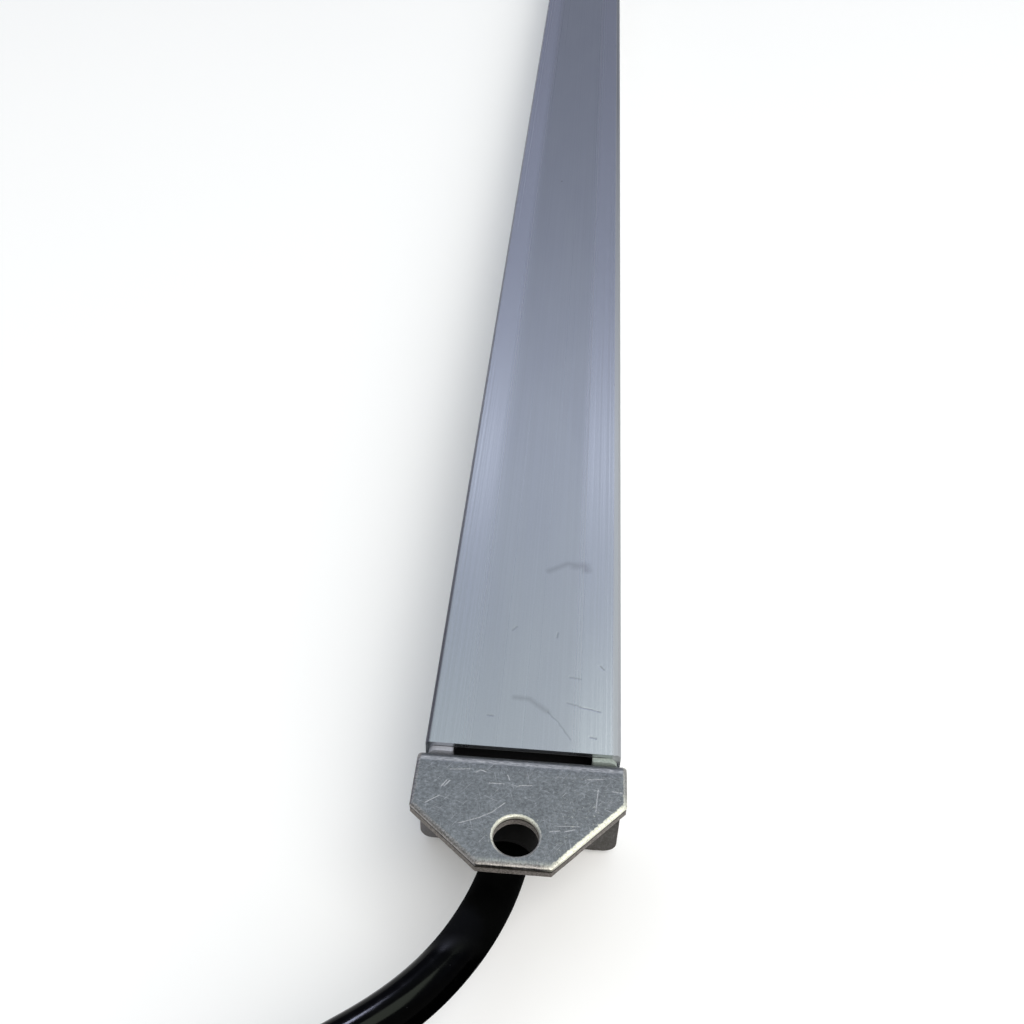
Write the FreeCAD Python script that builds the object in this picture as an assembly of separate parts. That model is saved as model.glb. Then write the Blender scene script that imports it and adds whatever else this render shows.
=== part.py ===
"""LED light bar with an L-shaped mounting bracket screwed to each end and a short supply lead.

Frame: X across the bar, Y along it (the lead leaves at -Y), +Z up out of the plain back face.
The bar lies lens down, and the origin is at the bottom centre of the bar with its brackets.
All sizes are in millimetres.
"""
import FreeCAD, Part
import math
import os

Vector = FreeCAD.Vector

# ---- bar profile (aluminium extrusion) ------------------------------------------------------
BAR_LENGTH = 500.0
BAR_WIDTH = 29.0
BAR_HEIGHT = 21.0
EDGE_BEVEL_X = 0.5
EDGE_BEVEL_Z = 0.4
BACK_WALL = 0.8
BACK_CHAMBER_WIDTH = 20.6
BACK_CHAMBER_HEIGHT = 4.0
BACK_CHAMBER_RADIUS = 1.0
WEB = 1.2
SIDE_WALL = 1.4
CORNER_BLOCK_WIDTH = 4.9
CORNER_BLOCK_BOTTOM = 10.6
LIP_HEIGHT = 1.0
LIP_REACH = 2.1
GROOVE_HEIGHT = 1.8
GROOVE_WALL = 0.7
RIB_HEIGHT = 0.8
PORT_X = 12.0
PORT_Z = 13.0
PORT_RADIUS = 1.4
PORT_SLOT = 1.1

# ---- lens cover and its seals ---------------------------------------------------------------
LENS_FACE_HALF = 12.0
LENS_FACE_Z = 0.3
LENS_FACE_THICKNESS = 1.3
LENS_TONGUE_HALF = 13.5
LENS_TONGUE_INNER = 10.8
LENS_TONGUE_Z = 1.2
LENS_TONGUE_TOP = 2.5

# ---- light engine ---------------------------------------------------------------------------
BOARD_WIDTH = 12.0
BOARD_THICKNESS = 1.2
BOARD_START = -226.0
BOARD_END = 242.0
TAPE_THICKNESS = 0.2
LED_COUNT = 36
LED_PITCH = 12.6
LED_FIRST = -211.0
LED_SIZE = 5.0
LED_HEIGHT = 1.5
PHOSPHOR_RADIUS = 2.0
PHOSPHOR_DEPTH = 0.4
LEDS_PER_RESISTOR = 3
RESISTOR = (1.6, 3.2, 0.6)
RESISTOR_X = 4.6
DIODE = (4.3, 2.6, 1.9)
DIODE_Y = -218.5
PAD_X = 3.0
PAD_Y = -223.0
SOLDER_RADIUS = 1.3
WIRE_RADIUS = 0.7

# ---- brackets, gaskets and end screws -------------------------------------------------------
SHEET = 2.0
GASKET = 0.8
GASKET_INSET = 0.5
GASKET_CORNER = 1.2
GASKET_BACK_STEP = 0.8
BEND_INNER_RADIUS = 0.5
BRACKET_WIDTH = 30.7
TAB_FRONT = 19.8
TAB_FRONT_WIDTH = 10.4
TAB_CHAMFER_START_LONG = 11.0
TAB_CHAMFER_START_SHORT = 8.8
HOLE_SPACING = 530.0
HOLE_RADIUS = 3.2
FLANGE_BOTTOM = 0.8
FLANGE_CORNER = 2.0
SCREW_CLEARANCE_RADIUS = 1.6
SCREW_SHANK_RADIUS = 1.35
SCREW_LENGTH = 8.0
SCREW_HEAD_RADIUS = 2.8
SCREW_HEAD_HEIGHT = 2.2
SCREW_HEAD_ROUND = 1.0
SCREW_TIP_CHAMFER = 0.5
RECESS_WIDTH = 0.8
RECESS_SPAN = 3.0
RECESS_DEPTH = 1.3
WASHER_RADIUS = 3.2
WASHER_THICKNESS = 0.5

# ---- supply lead ----------------------------------------------------------------------------
CABLE_DIAMETER = 6.7
CABLE_Z = 10.0
SHEATH_END = -236.0
GROMMET_HOLE_RADIUS = 4.4
GROMMET_INNER_LIP = 5.4
GROMMET_OUTER_LIP = 5.6
GROMMET_LIP_THICKNESS = 1.2
BOOT_START_RADIUS = 4.9
BOOT_END_RADIUS = 4.0
BOOT_LENGTH = 8.5
INNER_TIE_Y = -244.0
INNER_TIE_WIDTH = 3.6
INNER_TIE_THICKNESS = 1.0
INNER_TIE_HEAD_REACH = 2.6
INNER_TIE_HEAD_HALF = 2.2
INNER_TIE_HEAD_MARGIN = 0.5
ARC_SHARE = 0.45

# ---- stored oval coil of the lead -----------------------------------------------------------
TIE_THICKNESS = 0.6
TIE_WIDTH = 4.0
TIE_HEAD_REACH = 3.2
TIE_HEAD_MARGIN = 0.6
TIE_HEAD_HEIGHT = 4.5
TIE_HEAD_DROP = 0.5
RUN_TIE_START = -387.0
COIL_X = -19.6
FOLD_RADIUS = 20.0
COIL_NEAR = -335.0
COIL_FAR = -435.0
UPPER_START = -340.0
UPPER_SLOPE_START = -415.0
UPPER_SLOPE_END = -365.0

# ---- connector at the end of the lead -------------------------------------------------------
CONNECTOR_Z = 7.0
CONNECTOR_START = -368.0
CONNECTOR_BOOT_LENGTH = 11.0
CONNECTOR_BOOT_RADIUS = 4.4
BOOT_GROOVES = 3
BOOT_GROOVE_START = 2.4
BOOT_GROOVE_PITCH = 2.8
BOOT_GROOVE_WIDTH = 1.1
BOOT_GROOVE_DEPTH = 0.6
CONNECTOR_BODY_LENGTH = 11.0
CONNECTOR_BODY_RADIUS = 6.0
CONNECTOR_NUT_LENGTH = 12.0
CONNECTOR_NUT_RADIUS = 7.0
CONNECTOR_NUT_BORE = 5.6
CONNECTOR_INSERT_RADIUS = 4.3
CONNECTOR_INSERT_LENGTH = 14.0
CONNECTOR_FLUTES = 18
CONNECTOR_FLUTE_RADIUS = 0.45
CONNECTOR_FLUTE_INSET = 1.5
PIN_RADIUS = 0.6
PIN_LENGTH = 4.0
PIN_OFFSET = 1.7
SEAL_THICKNESS = 0.9

CABLE_RADIUS = CABLE_DIAMETER / 2
LAYER_1 = TIE_THICKNESS + CABLE_RADIUS
LAYER_2 = LAYER_1 + CABLE_DIAMETER
COIL_LEFT = COIL_X - FOLD_RADIUS
COIL_RIGHT = COIL_X + FOLD_RADIUS
COIL_TOP = TIE_THICKNESS + 2 * CABLE_DIAMETER
BAR_END = BAR_LENGTH / 2
FLANGE_FACE = BAR_END + GASKET
FLANGE_OUTSIDE = FLANGE_FACE + SHEET
WEB_BOTTOM = BAR_HEIGHT - BACK_WALL - BACK_CHAMBER_HEIGHT - WEB

# Route of the free lead, from the cable-end bracket to the top layer of the coil.
LEAD_ROUTE = [
    (0.0, -FLANGE_OUTSIDE, CABLE_Z),
    (-1.0, -263.0, 10.3),
    (-5.5, -276.1, 11.4),
    (-13.0, -287.3, 13.5),
    (-25.6, -296.5, 14.1),
    (-34.6, -311.0, 12.9),
    (COIL_LEFT, -326.5, LAYER_2),
    (COIL_LEFT, UPPER_START, LAYER_2),
]

# Route of the tail, from the bottom layer of the coil to the connector lying inside it.
TAIL_ROUTE = [
    (COIL_RIGHT, -443.0, LAYER_1),
    (COIL_RIGHT, -428.5, LAYER_1),
    (-4.8, -412.5, 4.5),
    (-13.5, -397.0, 5.9),
    (COIL_X, -381.0, CONNECTOR_Z),
    (COIL_X, CONNECTOR_START, CONNECTOR_Z),
]


def prism(outline, start, end):
    """Solid with a closed X-Z outline, from Y = start to Y = end."""
    points = [Vector(x, start, z) for x, z in outline]
    face = Part.Face(Part.makePolygon(points + points[:1]))
    return face.extrude(Vector(0, end - start, 0))


def box(x0, x1, y0, y1, z0, z1):
    """Axis-aligned box between two corners."""
    return Part.makeBox(x1 - x0, y1 - y0, z1 - z0, Vector(x0, y0, z0))


def rod(x, z, radius, start, end):
    """Cylinder along Y."""
    return Part.makeCylinder(radius, end - start, Vector(x, start, z), Vector(0, 1, 0))


def edges_along(shape, direction, keep=lambda middle: True):
    """Straight edges of a shape that run along a direction and pass a test of their middle."""
    found = []
    for edge in shape.Edges:
        run = edge.Vertexes[-1].Point - edge.Vertexes[0].Point
        if run.Length > 1e-6 and run.normalize().cross(direction).Length < 1e-6:
            if keep(edge.CenterOfMass):
                found.append(edge)
    return found


def mirrored(outline):
    """Closed outline from the points of its +X half, listed from the bottom to the top."""
    return outline + [(-x, z) for x, z in reversed(outline)]


def turned(shape):
    """Copy of a cable-end piece turned half a turn about Z, for the blind end."""
    copy = shape.copy()
    copy.rotate(Vector(0, 0, 0), Vector(0, 0, 1), 180)
    return copy


def group(solids):
    """Separate solids kept together in one file."""
    return Part.makeCompound(solids)


# ---- bar ------------------------------------------------------------------------------------
def back_chamber():
    half = BACK_CHAMBER_WIDTH / 2
    top = BAR_HEIGHT - BACK_WALL
    cavity = box(-half, half, -BAR_END, BAR_END, top - BACK_CHAMBER_HEIGHT, top)
    return cavity.makeFillet(BACK_CHAMBER_RADIUS, edges_along(cavity, Vector(0, 1, 0)))


def light_chamber():
    """Space for the board, open between the front lips, with the lens groove in each wall."""
    half = BAR_WIDTH / 2
    inner = half - SIDE_WALL
    mouth = half - LIP_REACH
    groove = half - GROOVE_WALL
    groove_top = LIP_HEIGHT + GROOVE_HEIGHT
    outline = [
        (mouth, 0),
        (mouth, LIP_HEIGHT),
        (groove, LIP_HEIGHT),
        (groove, groove_top),
        (mouth, groove_top),
        (mouth, groove_top + RIB_HEIGHT),
        (inner, groove_top + RIB_HEIGHT),
        (inner, CORNER_BLOCK_BOTTOM),
        (half - CORNER_BLOCK_WIDTH, CORNER_BLOCK_BOTTOM),
        (half - CORNER_BLOCK_WIDTH, WEB_BOTTOM),
    ]
    return prism(mirrored(outline), -BAR_END, BAR_END)


def housing_extrusion():
    half = BAR_WIDTH / 2
    outline = [
        (half - EDGE_BEVEL_X, 0),
        (half, EDGE_BEVEL_Z),
        (half, BAR_HEIGHT - EDGE_BEVEL_Z),
        (half - EDGE_BEVEL_X, BAR_HEIGHT),
    ]
    body = prism(mirrored(outline), -BAR_END, BAR_END)
    body = body.cut(back_chamber()).cut(light_chamber())
    block_face = half - CORNER_BLOCK_WIDTH
    for side in (-1, 1):
        body = body.cut(rod(side * PORT_X, PORT_Z, PORT_RADIUS, -BAR_END, BAR_END))
        low, high = sorted((side * (block_face - 0.5), side * PORT_X))
        slot = box(low, high, -BAR_END, BAR_END, PORT_Z - PORT_SLOT / 2, PORT_Z + PORT_SLOT / 2)
        body = body.cut(slot)
    return body


def lens_cover():
    face_top = LENS_FACE_Z + LENS_FACE_THICKNESS
    outline = [
        (LENS_FACE_HALF, LENS_FACE_Z),
        (LENS_FACE_HALF, LENS_TONGUE_Z),
        (LENS_TONGUE_HALF, LENS_TONGUE_Z),
        (LENS_TONGUE_HALF, LENS_TONGUE_TOP),
        (LENS_TONGUE_INNER, LENS_TONGUE_TOP),
        (LENS_TONGUE_INNER, face_top),
    ]
    return prism(mirrored(outline), -BAR_END, BAR_END)


def lens_seal(side):
    """Thin silicone strip pressed between the lens tongue and the top of its groove."""
    mouth = BAR_WIDTH / 2 - LIP_REACH
    groove = BAR_WIDTH / 2 - GROOVE_WALL
    low, high = sorted((side * mouth, side * groove))
    return box(low, high, -BAR_END, BAR_END, LENS_TONGUE_TOP, LIP_HEIGHT + GROOVE_HEIGHT)


# ---- light engine ---------------------------------------------------------------------------
TAPE_BOTTOM = WEB_BOTTOM - TAPE_THICKNESS
BOARD_BOTTOM = TAPE_BOTTOM - BOARD_THICKNESS


def board_tape():
    half = BOARD_WIDTH / 2
    return box(-half, half, BOARD_START, BOARD_END, TAPE_BOTTOM, WEB_BOTTOM)


def led_board():
    half = BOARD_WIDTH / 2
    return box(-half, half, BOARD_START, BOARD_END, BOARD_BOTTOM, TAPE_BOTTOM)


def led_places():
    return [LED_FIRST + LED_PITCH * i for i in range(LED_COUNT)]


def leds():
    half = LED_SIZE / 2
    face = BOARD_BOTTOM - LED_HEIGHT
    solids = []
    for y in led_places():
        package = box(-half, half, y - half, y + half, face, BOARD_BOTTOM)
        cup = Part.makeCylinder(PHOSPHOR_RADIUS, PHOSPHOR_DEPTH, Vector(0, y, face))
        solids.append(package.cut(cup))
    return group(solids)


def led_phosphor():
    face = BOARD_BOTTOM - LED_HEIGHT
    return group([Part.makeCylinder(PHOSPHOR_RADIUS, PHOSPHOR_DEPTH, Vector(0, y, face))
                  for y in led_places()])


def resistors():
    width, length, height = RESISTOR
    solids = []
    for y in led_places()[::LEDS_PER_RESISTOR]:
        middle = y + LED_PITCH / 2
        solids.append(box(RESISTOR_X - width / 2, RESISTOR_X + width / 2,
                          middle - length / 2, middle + length / 2,
                          BOARD_BOTTOM - height, BOARD_BOTTOM))
    return group(solids)


def polarity_diode():
    width, length, height = DIODE
    return box(-width / 2, width / 2, DIODE_Y - length / 2, DIODE_Y + length / 2,
               BOARD_BOTTOM - height, BOARD_BOTTOM)


def solder_joints():
    below = box(-BOARD_WIDTH, BOARD_WIDTH, PAD_Y - BOARD_WIDTH, PAD_Y + BOARD_WIDTH,
                0, BOARD_BOTTOM)
    solids = []
    for side in (-1, 1):
        ball = Part.makeSphere(SOLDER_RADIUS, Vector(side * PAD_X, PAD_Y, BOARD_BOTTOM))
        solids.append(ball.common(below).cut(core_wire(side)))
    return group(solids)


# ---- tube along a route ---------------------------------------------------------------------
def bend_radii(route):
    """Radius of the tangent arc at each inner point of a route."""
    points = [Vector(*p) for p in route]
    radii = []
    for before, corner, after in zip(points, points[1:], points[2:]):
        run_in = corner - before
        run_out = after - corner
        turn = run_in.getAngle(run_out)
        radii.append(ARC_SHARE * min(run_in.Length, run_out.Length) / math.tan(turn / 2))
    return radii


def route_wire(route):
    """Straight runs joined by tangent arcs, one arc at each inner point."""
    points = [Vector(*p) for p in route]
    edges = []
    start = points[0]
    for before, corner, after in zip(points, points[1:], points[2:]):
        run_in = corner - before
        run_out = after - corner
        setback = ARC_SHARE * min(run_in.Length, run_out.Length)
        turn = run_in.getAngle(run_out)
        ahead = run_in.normalize()
        onward = run_out.normalize()
        arc_start = corner - ahead * setback
        arc_end = corner + onward * setback
        inward = (onward - ahead).normalize()
        radius = setback / math.tan(turn / 2)
        centre_distance = radius / math.cos(turn / 2)
        arc_middle = corner + inward * (centre_distance - radius)
        edges.append(Part.LineSegment(start, arc_start).toShape())
        edges.append(Part.Arc(arc_start, arc_middle, arc_end).toShape())
        start = arc_end
    edges.append(Part.LineSegment(start, points[-1]).toShape())
    return Part.Wire(edges)


def tube(route, radius):
    """Round solid along a route."""
    path = route_wire(route)
    start = Vector(*route[0])
    ahead = Vector(*route[1]) - start
    section = Part.Wire(Part.makeCircle(radius, start, ahead))
    return path.makePipeShell([section], True, False)


# ---- wiring inside the bar ------------------------------------------------------------------
def cable_inlet():
    """Sheathed end of the lead, from the bracket to where its cores fan out."""
    return rod(0, CABLE_Z, CABLE_RADIUS, -FLANGE_OUTSIDE, SHEATH_END)


def core_wire(side):
    pad_z = BOARD_BOTTOM - WIRE_RADIUS
    route = [
        (side * 1.5, SHEATH_END, CABLE_Z),
        (side * 1.6, SHEATH_END + 4.0, CABLE_Z + 0.1),
        (side * PAD_X, SHEATH_END + 9.0, pad_z - 0.4),
        (side * PAD_X, PAD_Y, pad_z),
    ]
    return tube(route, WIRE_RADIUS)


def inner_cable_tie():
    outer = CABLE_RADIUS + INNER_TIE_THICKNESS
    y0 = INNER_TIE_Y - INNER_TIE_WIDTH / 2
    y1 = INNER_TIE_Y + INNER_TIE_WIDTH / 2
    band = rod(0, CABLE_Z, outer, y0, y1)
    head = box(outer - 0.4, outer + INNER_TIE_HEAD_REACH,
               y0 - INNER_TIE_HEAD_MARGIN, y1 + INNER_TIE_HEAD_MARGIN,
               CABLE_Z - INNER_TIE_HEAD_HALF, CABLE_Z + INNER_TIE_HEAD_HALF)
    return band.fuse(head).cut(rod(0, CABLE_Z, CABLE_RADIUS, y0 - 1, y1 + 1))


# ---- brackets, gaskets, screws (built at the cable end) -------------------------------------
def bracket():
    """Bent sheet: a flange over the bar's end and a tab with a screw hole, level with the back."""
    outer = BEND_INNER_RADIUS + SHEET
    half = BRACKET_WIDTH / 2
    flange = box(-half, half, -FLANGE_OUTSIDE, -FLANGE_FACE, FLANGE_BOTTOM, BAR_HEIGHT)
    flange = flange.makeFillet(FLANGE_CORNER, edges_along(
        flange, Vector(0, 1, 0), lambda middle: middle.z < FLANGE_BOTTOM + 1))
    tab_outline = [
        Vector(-half, -FLANGE_FACE, BAR_HEIGHT - SHEET),
        Vector(half, -FLANGE_FACE, BAR_HEIGHT - SHEET),
        Vector(half, -BAR_END - TAB_CHAMFER_START_SHORT, BAR_HEIGHT - SHEET),
        Vector(TAB_FRONT_WIDTH / 2, -BAR_END - TAB_FRONT, BAR_HEIGHT - SHEET),
        Vector(-TAB_FRONT_WIDTH / 2, -BAR_END - TAB_FRONT, BAR_HEIGHT - SHEET),
        Vector(-half, -BAR_END - TAB_CHAMFER_START_LONG, BAR_HEIGHT - SHEET),
    ]
    tab = Part.Face(Part.makePolygon(tab_outline + tab_outline[:1])).extrude(Vector(0, 0, SHEET))
    blank = flange.fuse(tab).removeSplitter()
    convex = edges_along(blank, Vector(1, 0, 0),
                         lambda m: abs(m.y + FLANGE_FACE) < 1e-6 and m.z > BAR_HEIGHT - 1e-6)
    blank = blank.makeFillet(outer, convex)
    concave = edges_along(blank, Vector(1, 0, 0),
                          lambda m: abs(m.y + FLANGE_OUTSIDE) < 1e-6
                          and abs(m.z - BAR_HEIGHT + SHEET) < 1e-6)
    blank = blank.makeFillet(BEND_INNER_RADIUS, concave)
    hole = Part.makeCylinder(HOLE_RADIUS, 3 * SHEET,
                             Vector(0, -HOLE_SPACING / 2, BAR_HEIGHT - 2 * SHEET))
    blank = blank.cut(hole)
    for side in (-1, 1):
        blank = blank.cut(rod(side * PORT_X, PORT_Z, SCREW_CLEARANCE_RADIUS,
                              -FLANGE_OUTSIDE - 1, -FLANGE_FACE + 1))
    return blank


def bracket_cable_end():
    return bracket().cut(rod(0, CABLE_Z, GROMMET_HOLE_RADIUS,
                             -FLANGE_OUTSIDE - 1, -FLANGE_FACE + 1))


def gasket():
    """Soft sheet between bar and bracket, cut away over the back chamber."""
    half = BAR_WIDTH / 2 - GASKET_INSET
    top = BAR_HEIGHT - GASKET_BACK_STEP
    sheet = box(-half, half, -FLANGE_FACE, -BAR_END, GASKET_INSET, top)
    sheet = sheet.makeFillet(GASKET_CORNER, edges_along(sheet, Vector(0, 1, 0)))
    notch_half = BACK_CHAMBER_WIDTH / 2
    notch_bottom = BAR_HEIGHT - BACK_WALL - BACK_CHAMBER_HEIGHT
    sheet = sheet.cut(box(-notch_half, notch_half, -FLANGE_FACE - 1, -BAR_END + 1,
                          notch_bottom, BAR_HEIGHT))
    for side in (-1, 1):
        sheet = sheet.cut(rod(side * PORT_X, PORT_Z, SCREW_CLEARANCE_RADIUS,
                              -FLANGE_FACE - 1, -BAR_END + 1))
    return sheet


def gasket_cable_end():
    return gasket().cut(rod(0, CABLE_Z, GROMMET_INNER_LIP, -FLANGE_FACE - 1, -BAR_END + 1))


def washers():
    solids = []
    for side in (-1, 1):
        disc = rod(side * PORT_X, PORT_Z, WASHER_RADIUS,
                   -FLANGE_OUTSIDE - WASHER_THICKNESS, -FLANGE_OUTSIDE)
        solids.append(disc.cut(rod(side * PORT_X, PORT_Z, SCREW_CLEARANCE_RADIUS,
                                   -FLANGE_OUTSIDE - 1, -FLANGE_OUTSIDE + 1)))
    return group(solids)


def screw(x):
    """Pan-head screw with a cross recess, driven along +Y into the port of the bar."""
    seat = -FLANGE_OUTSIDE - WASHER_THICKNESS
    face = seat - SCREW_HEAD_HEIGHT
    head = rod(x, PORT_Z, SCREW_HEAD_RADIUS, face, seat)
    rim = [edge for edge in head.Edges if abs(edge.CenterOfMass.y - face) < 1e-6]
    head = head.makeFillet(SCREW_HEAD_ROUND, rim[:1])
    shank = rod(x, PORT_Z, SCREW_SHANK_RADIUS, seat, seat + SCREW_LENGTH)
    tip = [edge for edge in shank.Edges
           if abs(edge.CenterOfMass.y - seat - SCREW_LENGTH) < 1e-6]
    shank = shank.makeChamfer(SCREW_TIP_CHAMFER, tip[:1])
    across = RECESS_SPAN / 2
    thin = RECESS_WIDTH / 2
    recess = box(x - across, x + across, face - 1, face + RECESS_DEPTH, PORT_Z - thin, PORT_Z + thin)
    recess = recess.fuse(box(x - thin, x + thin, face - 1, face + RECESS_DEPTH,
                             PORT_Z - across, PORT_Z + across))
    return head.cut(recess).fuse(shank)


def end_screws():
    return group([screw(-PORT_X), screw(PORT_X)])


# ---- supply lead ----------------------------------------------------------------------------
def extended_lead():
    """Free lead, with its first run begun a little inside the flange."""
    start = Vector(*LEAD_ROUTE[0])
    ahead = (Vector(*LEAD_ROUTE[1]) - start).normalize()
    begin = start - ahead * (SHEET / 2)
    return tube([tuple(begin)] + LEAD_ROUTE[1:], CABLE_RADIUS)


def supply_cable():
    """Free lead to the coil, with its first face level with the outside of the flange."""
    reach = CABLE_DIAMETER
    inside = box(-reach, reach, -FLANGE_OUTSIDE, -BAR_END, CABLE_Z - reach, CABLE_Z + reach)
    return extended_lead().cut(inside)


def cable_grommet():
    """Rubber grommet in the flange with a tapered boot that follows the lead's first run."""
    inner = rod(0, CABLE_Z, GROMMET_INNER_LIP, -FLANGE_FACE, -BAR_END)
    neck = rod(0, CABLE_Z, GROMMET_HOLE_RADIUS, -FLANGE_OUTSIDE, -FLANGE_FACE)
    lip_end = -FLANGE_OUTSIDE - GROMMET_LIP_THICKNESS
    lip = rod(0, CABLE_Z, GROMMET_OUTER_LIP, lip_end, -FLANGE_OUTSIDE)
    start = Vector(*LEAD_ROUTE[0])
    ahead = Vector(*LEAD_ROUTE[1]) - start
    boot = Part.makeCone(BOOT_START_RADIUS, BOOT_END_RADIUS, BOOT_LENGTH, start, ahead)
    boot = boot.cut(box(-10, 10, -FLANGE_OUTSIDE, 0, 0, BAR_HEIGHT))
    body = inner.fuse(neck).fuse(lip).fuse(boot)
    body = body.cut(rod(0, CABLE_Z, CABLE_RADIUS, -FLANGE_OUTSIDE, -BAR_END + 1))
    return body.cut(extended_lead())


def oval_ring(bottom, top):
    """Ring with the outline of the coil: two straight runs and a half-round fold at each end."""
    outer = FOLD_RADIUS + CABLE_RADIUS
    inner = FOLD_RADIUS - CABLE_RADIUS
    height = top - bottom
    solids = []
    for radius in (outer, inner):
        near = Part.makeCylinder(radius, height, Vector(COIL_X, COIL_NEAR, bottom))
        far = Part.makeCylinder(radius, height, Vector(COIL_X, COIL_FAR, bottom))
        middle = box(COIL_X - radius, COIL_X + radius, COIL_FAR, COIL_NEAR, bottom, top)
        solids.append(near.fuse(far).fuse(middle).removeSplitter())
    return solids[0].cut(solids[1])


def cable_coil():
    """Closed solid of the coil: a full lower ring, and an upper layer open at its near end."""
    middle = TIE_THICKNESS + CABLE_DIAMETER
    top = COIL_TOP
    lower = oval_ring(TIE_THICKNESS, middle)
    upper = oval_ring(middle, top)
    reach = FOLD_RADIUS + 2 * CABLE_DIAMETER
    upper = upper.cut(box(COIL_X - reach, COIL_X, UPPER_START, COIL_NEAR + reach, middle, top))
    slope = [Vector(COIL_X, UPPER_SLOPE_START, top + 1),
             Vector(COIL_X, UPPER_SLOPE_START, top),
             Vector(COIL_X, UPPER_SLOPE_END, middle),
             Vector(COIL_X, COIL_NEAR + reach, middle),
             Vector(COIL_X, COIL_NEAR + reach, top + 1)]
    cutter = Part.Face(Part.makePolygon(slope + slope[:1])).extrude(Vector(reach, 0, 0))
    return lower.fuse(upper.cut(cutter)).removeSplitter()


def cable_tail():
    """Tail from the inner face of the coil; the stretch that lies in the coil is cut off."""
    inner_face = COIL_RIGHT - CABLE_RADIUS
    in_coil = box(inner_face, inner_face + 2 * CABLE_DIAMETER, COIL_FAR - FOLD_RADIUS, COIL_NEAR,
                  -CABLE_DIAMETER, 2 * CABLE_DIAMETER)
    return tube(TAIL_ROUTE, CABLE_RADIUS).cut(in_coil)


def run_tie():
    """Tie round both layers on the left run of the coil, with its head on the inner side."""
    y0 = RUN_TIE_START
    y1 = y0 + TIE_WIDTH
    t = TIE_THICKNESS
    left = COIL_LEFT - CABLE_RADIUS
    right = COIL_LEFT + CABLE_RADIUS
    head_top = COIL_TOP - TIE_HEAD_DROP
    loop = box(left - t, right + t, y0, y1, 0, COIL_TOP + t)
    loop = loop.cut(box(left, right, y0, y1, t, COIL_TOP))
    head = box(right + t, right + t + TIE_HEAD_REACH, y0 - TIE_HEAD_MARGIN, y1 + TIE_HEAD_MARGIN,
               head_top - TIE_HEAD_HEIGHT, head_top)
    return loop.fuse(head)


def fold_tie():
    """Tie round both layers at the middle of the far fold, with its head on the inner side."""
    x0 = COIL_X - TIE_WIDTH / 2
    x1 = COIL_X + TIE_WIDTH / 2
    t = TIE_THICKNESS
    outside = COIL_FAR - FOLD_RADIUS - CABLE_RADIUS
    inside = COIL_FAR - FOLD_RADIUS + CABLE_RADIUS
    head_top = COIL_TOP - TIE_HEAD_DROP
    loop = box(x0, x1, outside - t, inside + t, 0, COIL_TOP + t)
    loop = loop.cut(box(x0, x1, outside, inside, t, COIL_TOP))
    head = box(x0 - TIE_HEAD_MARGIN, x1 + TIE_HEAD_MARGIN, inside + t, inside + t + TIE_HEAD_REACH,
               head_top - TIE_HEAD_HEIGHT, head_top)
    return loop.fuse(head).cut(cable_coil())


def coil_ties():
    return group([run_tie(), fold_tie()])


# ---- connector ------------------------------------------------------------------------------
BODY_START = CONNECTOR_START + CONNECTOR_BOOT_LENGTH
NUT_START = BODY_START + CONNECTOR_BODY_LENGTH
NUT_END = NUT_START + CONNECTOR_NUT_LENGTH


def connector_rod(radius, start, end):
    return rod(COIL_X, CONNECTOR_Z, radius, start, end)


def connector_boot():
    cone = Part.makeCone(CONNECTOR_BOOT_RADIUS, CONNECTOR_BODY_RADIUS - 0.6,
                         CONNECTOR_BOOT_LENGTH, Vector(COIL_X, CONNECTOR_START, CONNECTOR_Z),
                         Vector(0, 1, 0))
    for i in range(BOOT_GROOVES):
        y0 = CONNECTOR_START + BOOT_GROOVE_START + BOOT_GROOVE_PITCH * i
        y1 = y0 + BOOT_GROOVE_WIDTH
        core = connector_rod(CONNECTOR_BOOT_RADIUS - BOOT_GROOVE_DEPTH, y0, y1)
        cone = cone.cut(connector_rod(CONNECTOR_BODY_RADIUS, y0, y1).cut(core))
    return cone


def fluted(start, end, radius):
    """Round body with shallow grip flutes round it."""
    solid = connector_rod(radius, start, end)
    for i in range(CONNECTOR_FLUTES):
        angle = 2 * math.pi * (i + 0.5) / CONNECTOR_FLUTES
        x = COIL_X + radius * math.sin(angle)
        z = CONNECTOR_Z - radius * math.cos(angle)
        solid = solid.cut(rod(x, z, CONNECTOR_FLUTE_RADIUS,
                              start + CONNECTOR_FLUTE_INSET, end - CONNECTOR_FLUTE_INSET))
    return solid


def connector_body():
    return connector_rod(CONNECTOR_BODY_RADIUS, BODY_START, NUT_START)


def connector_nut():
    """Coupling nut that turns on the body's nose when the lead is plugged in."""
    nut = fluted(NUT_START, NUT_END, CONNECTOR_NUT_RADIUS)
    return nut.cut(connector_rod(CONNECTOR_NUT_BORE, NUT_START, NUT_END))


def connector_insert():
    insert = connector_rod(CONNECTOR_INSERT_RADIUS, NUT_START, NUT_START + CONNECTOR_INSERT_LENGTH)
    for side in (-1, 1):
        insert = insert.cut(rod(COIL_X + side * PIN_OFFSET, CONNECTOR_Z, PIN_RADIUS,
                                NUT_START, NUT_START + CONNECTOR_INSERT_LENGTH))
    return insert


def connector_pins():
    end = NUT_START + CONNECTOR_INSERT_LENGTH + PIN_LENGTH
    return group([rod(COIL_X + side * PIN_OFFSET, CONNECTOR_Z, PIN_RADIUS, NUT_START, end)
                  for side in (-1, 1)])


def connector_seal():
    outer = CONNECTOR_INSERT_RADIUS + SEAL_THICKNESS
    ring = connector_rod(outer, NUT_START, NUT_START + 2 * SEAL_THICKNESS)
    return ring.cut(connector_rod(CONNECTOR_INSERT_RADIUS, NUT_START,
                                  NUT_START + 2 * SEAL_THICKNESS))


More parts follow.
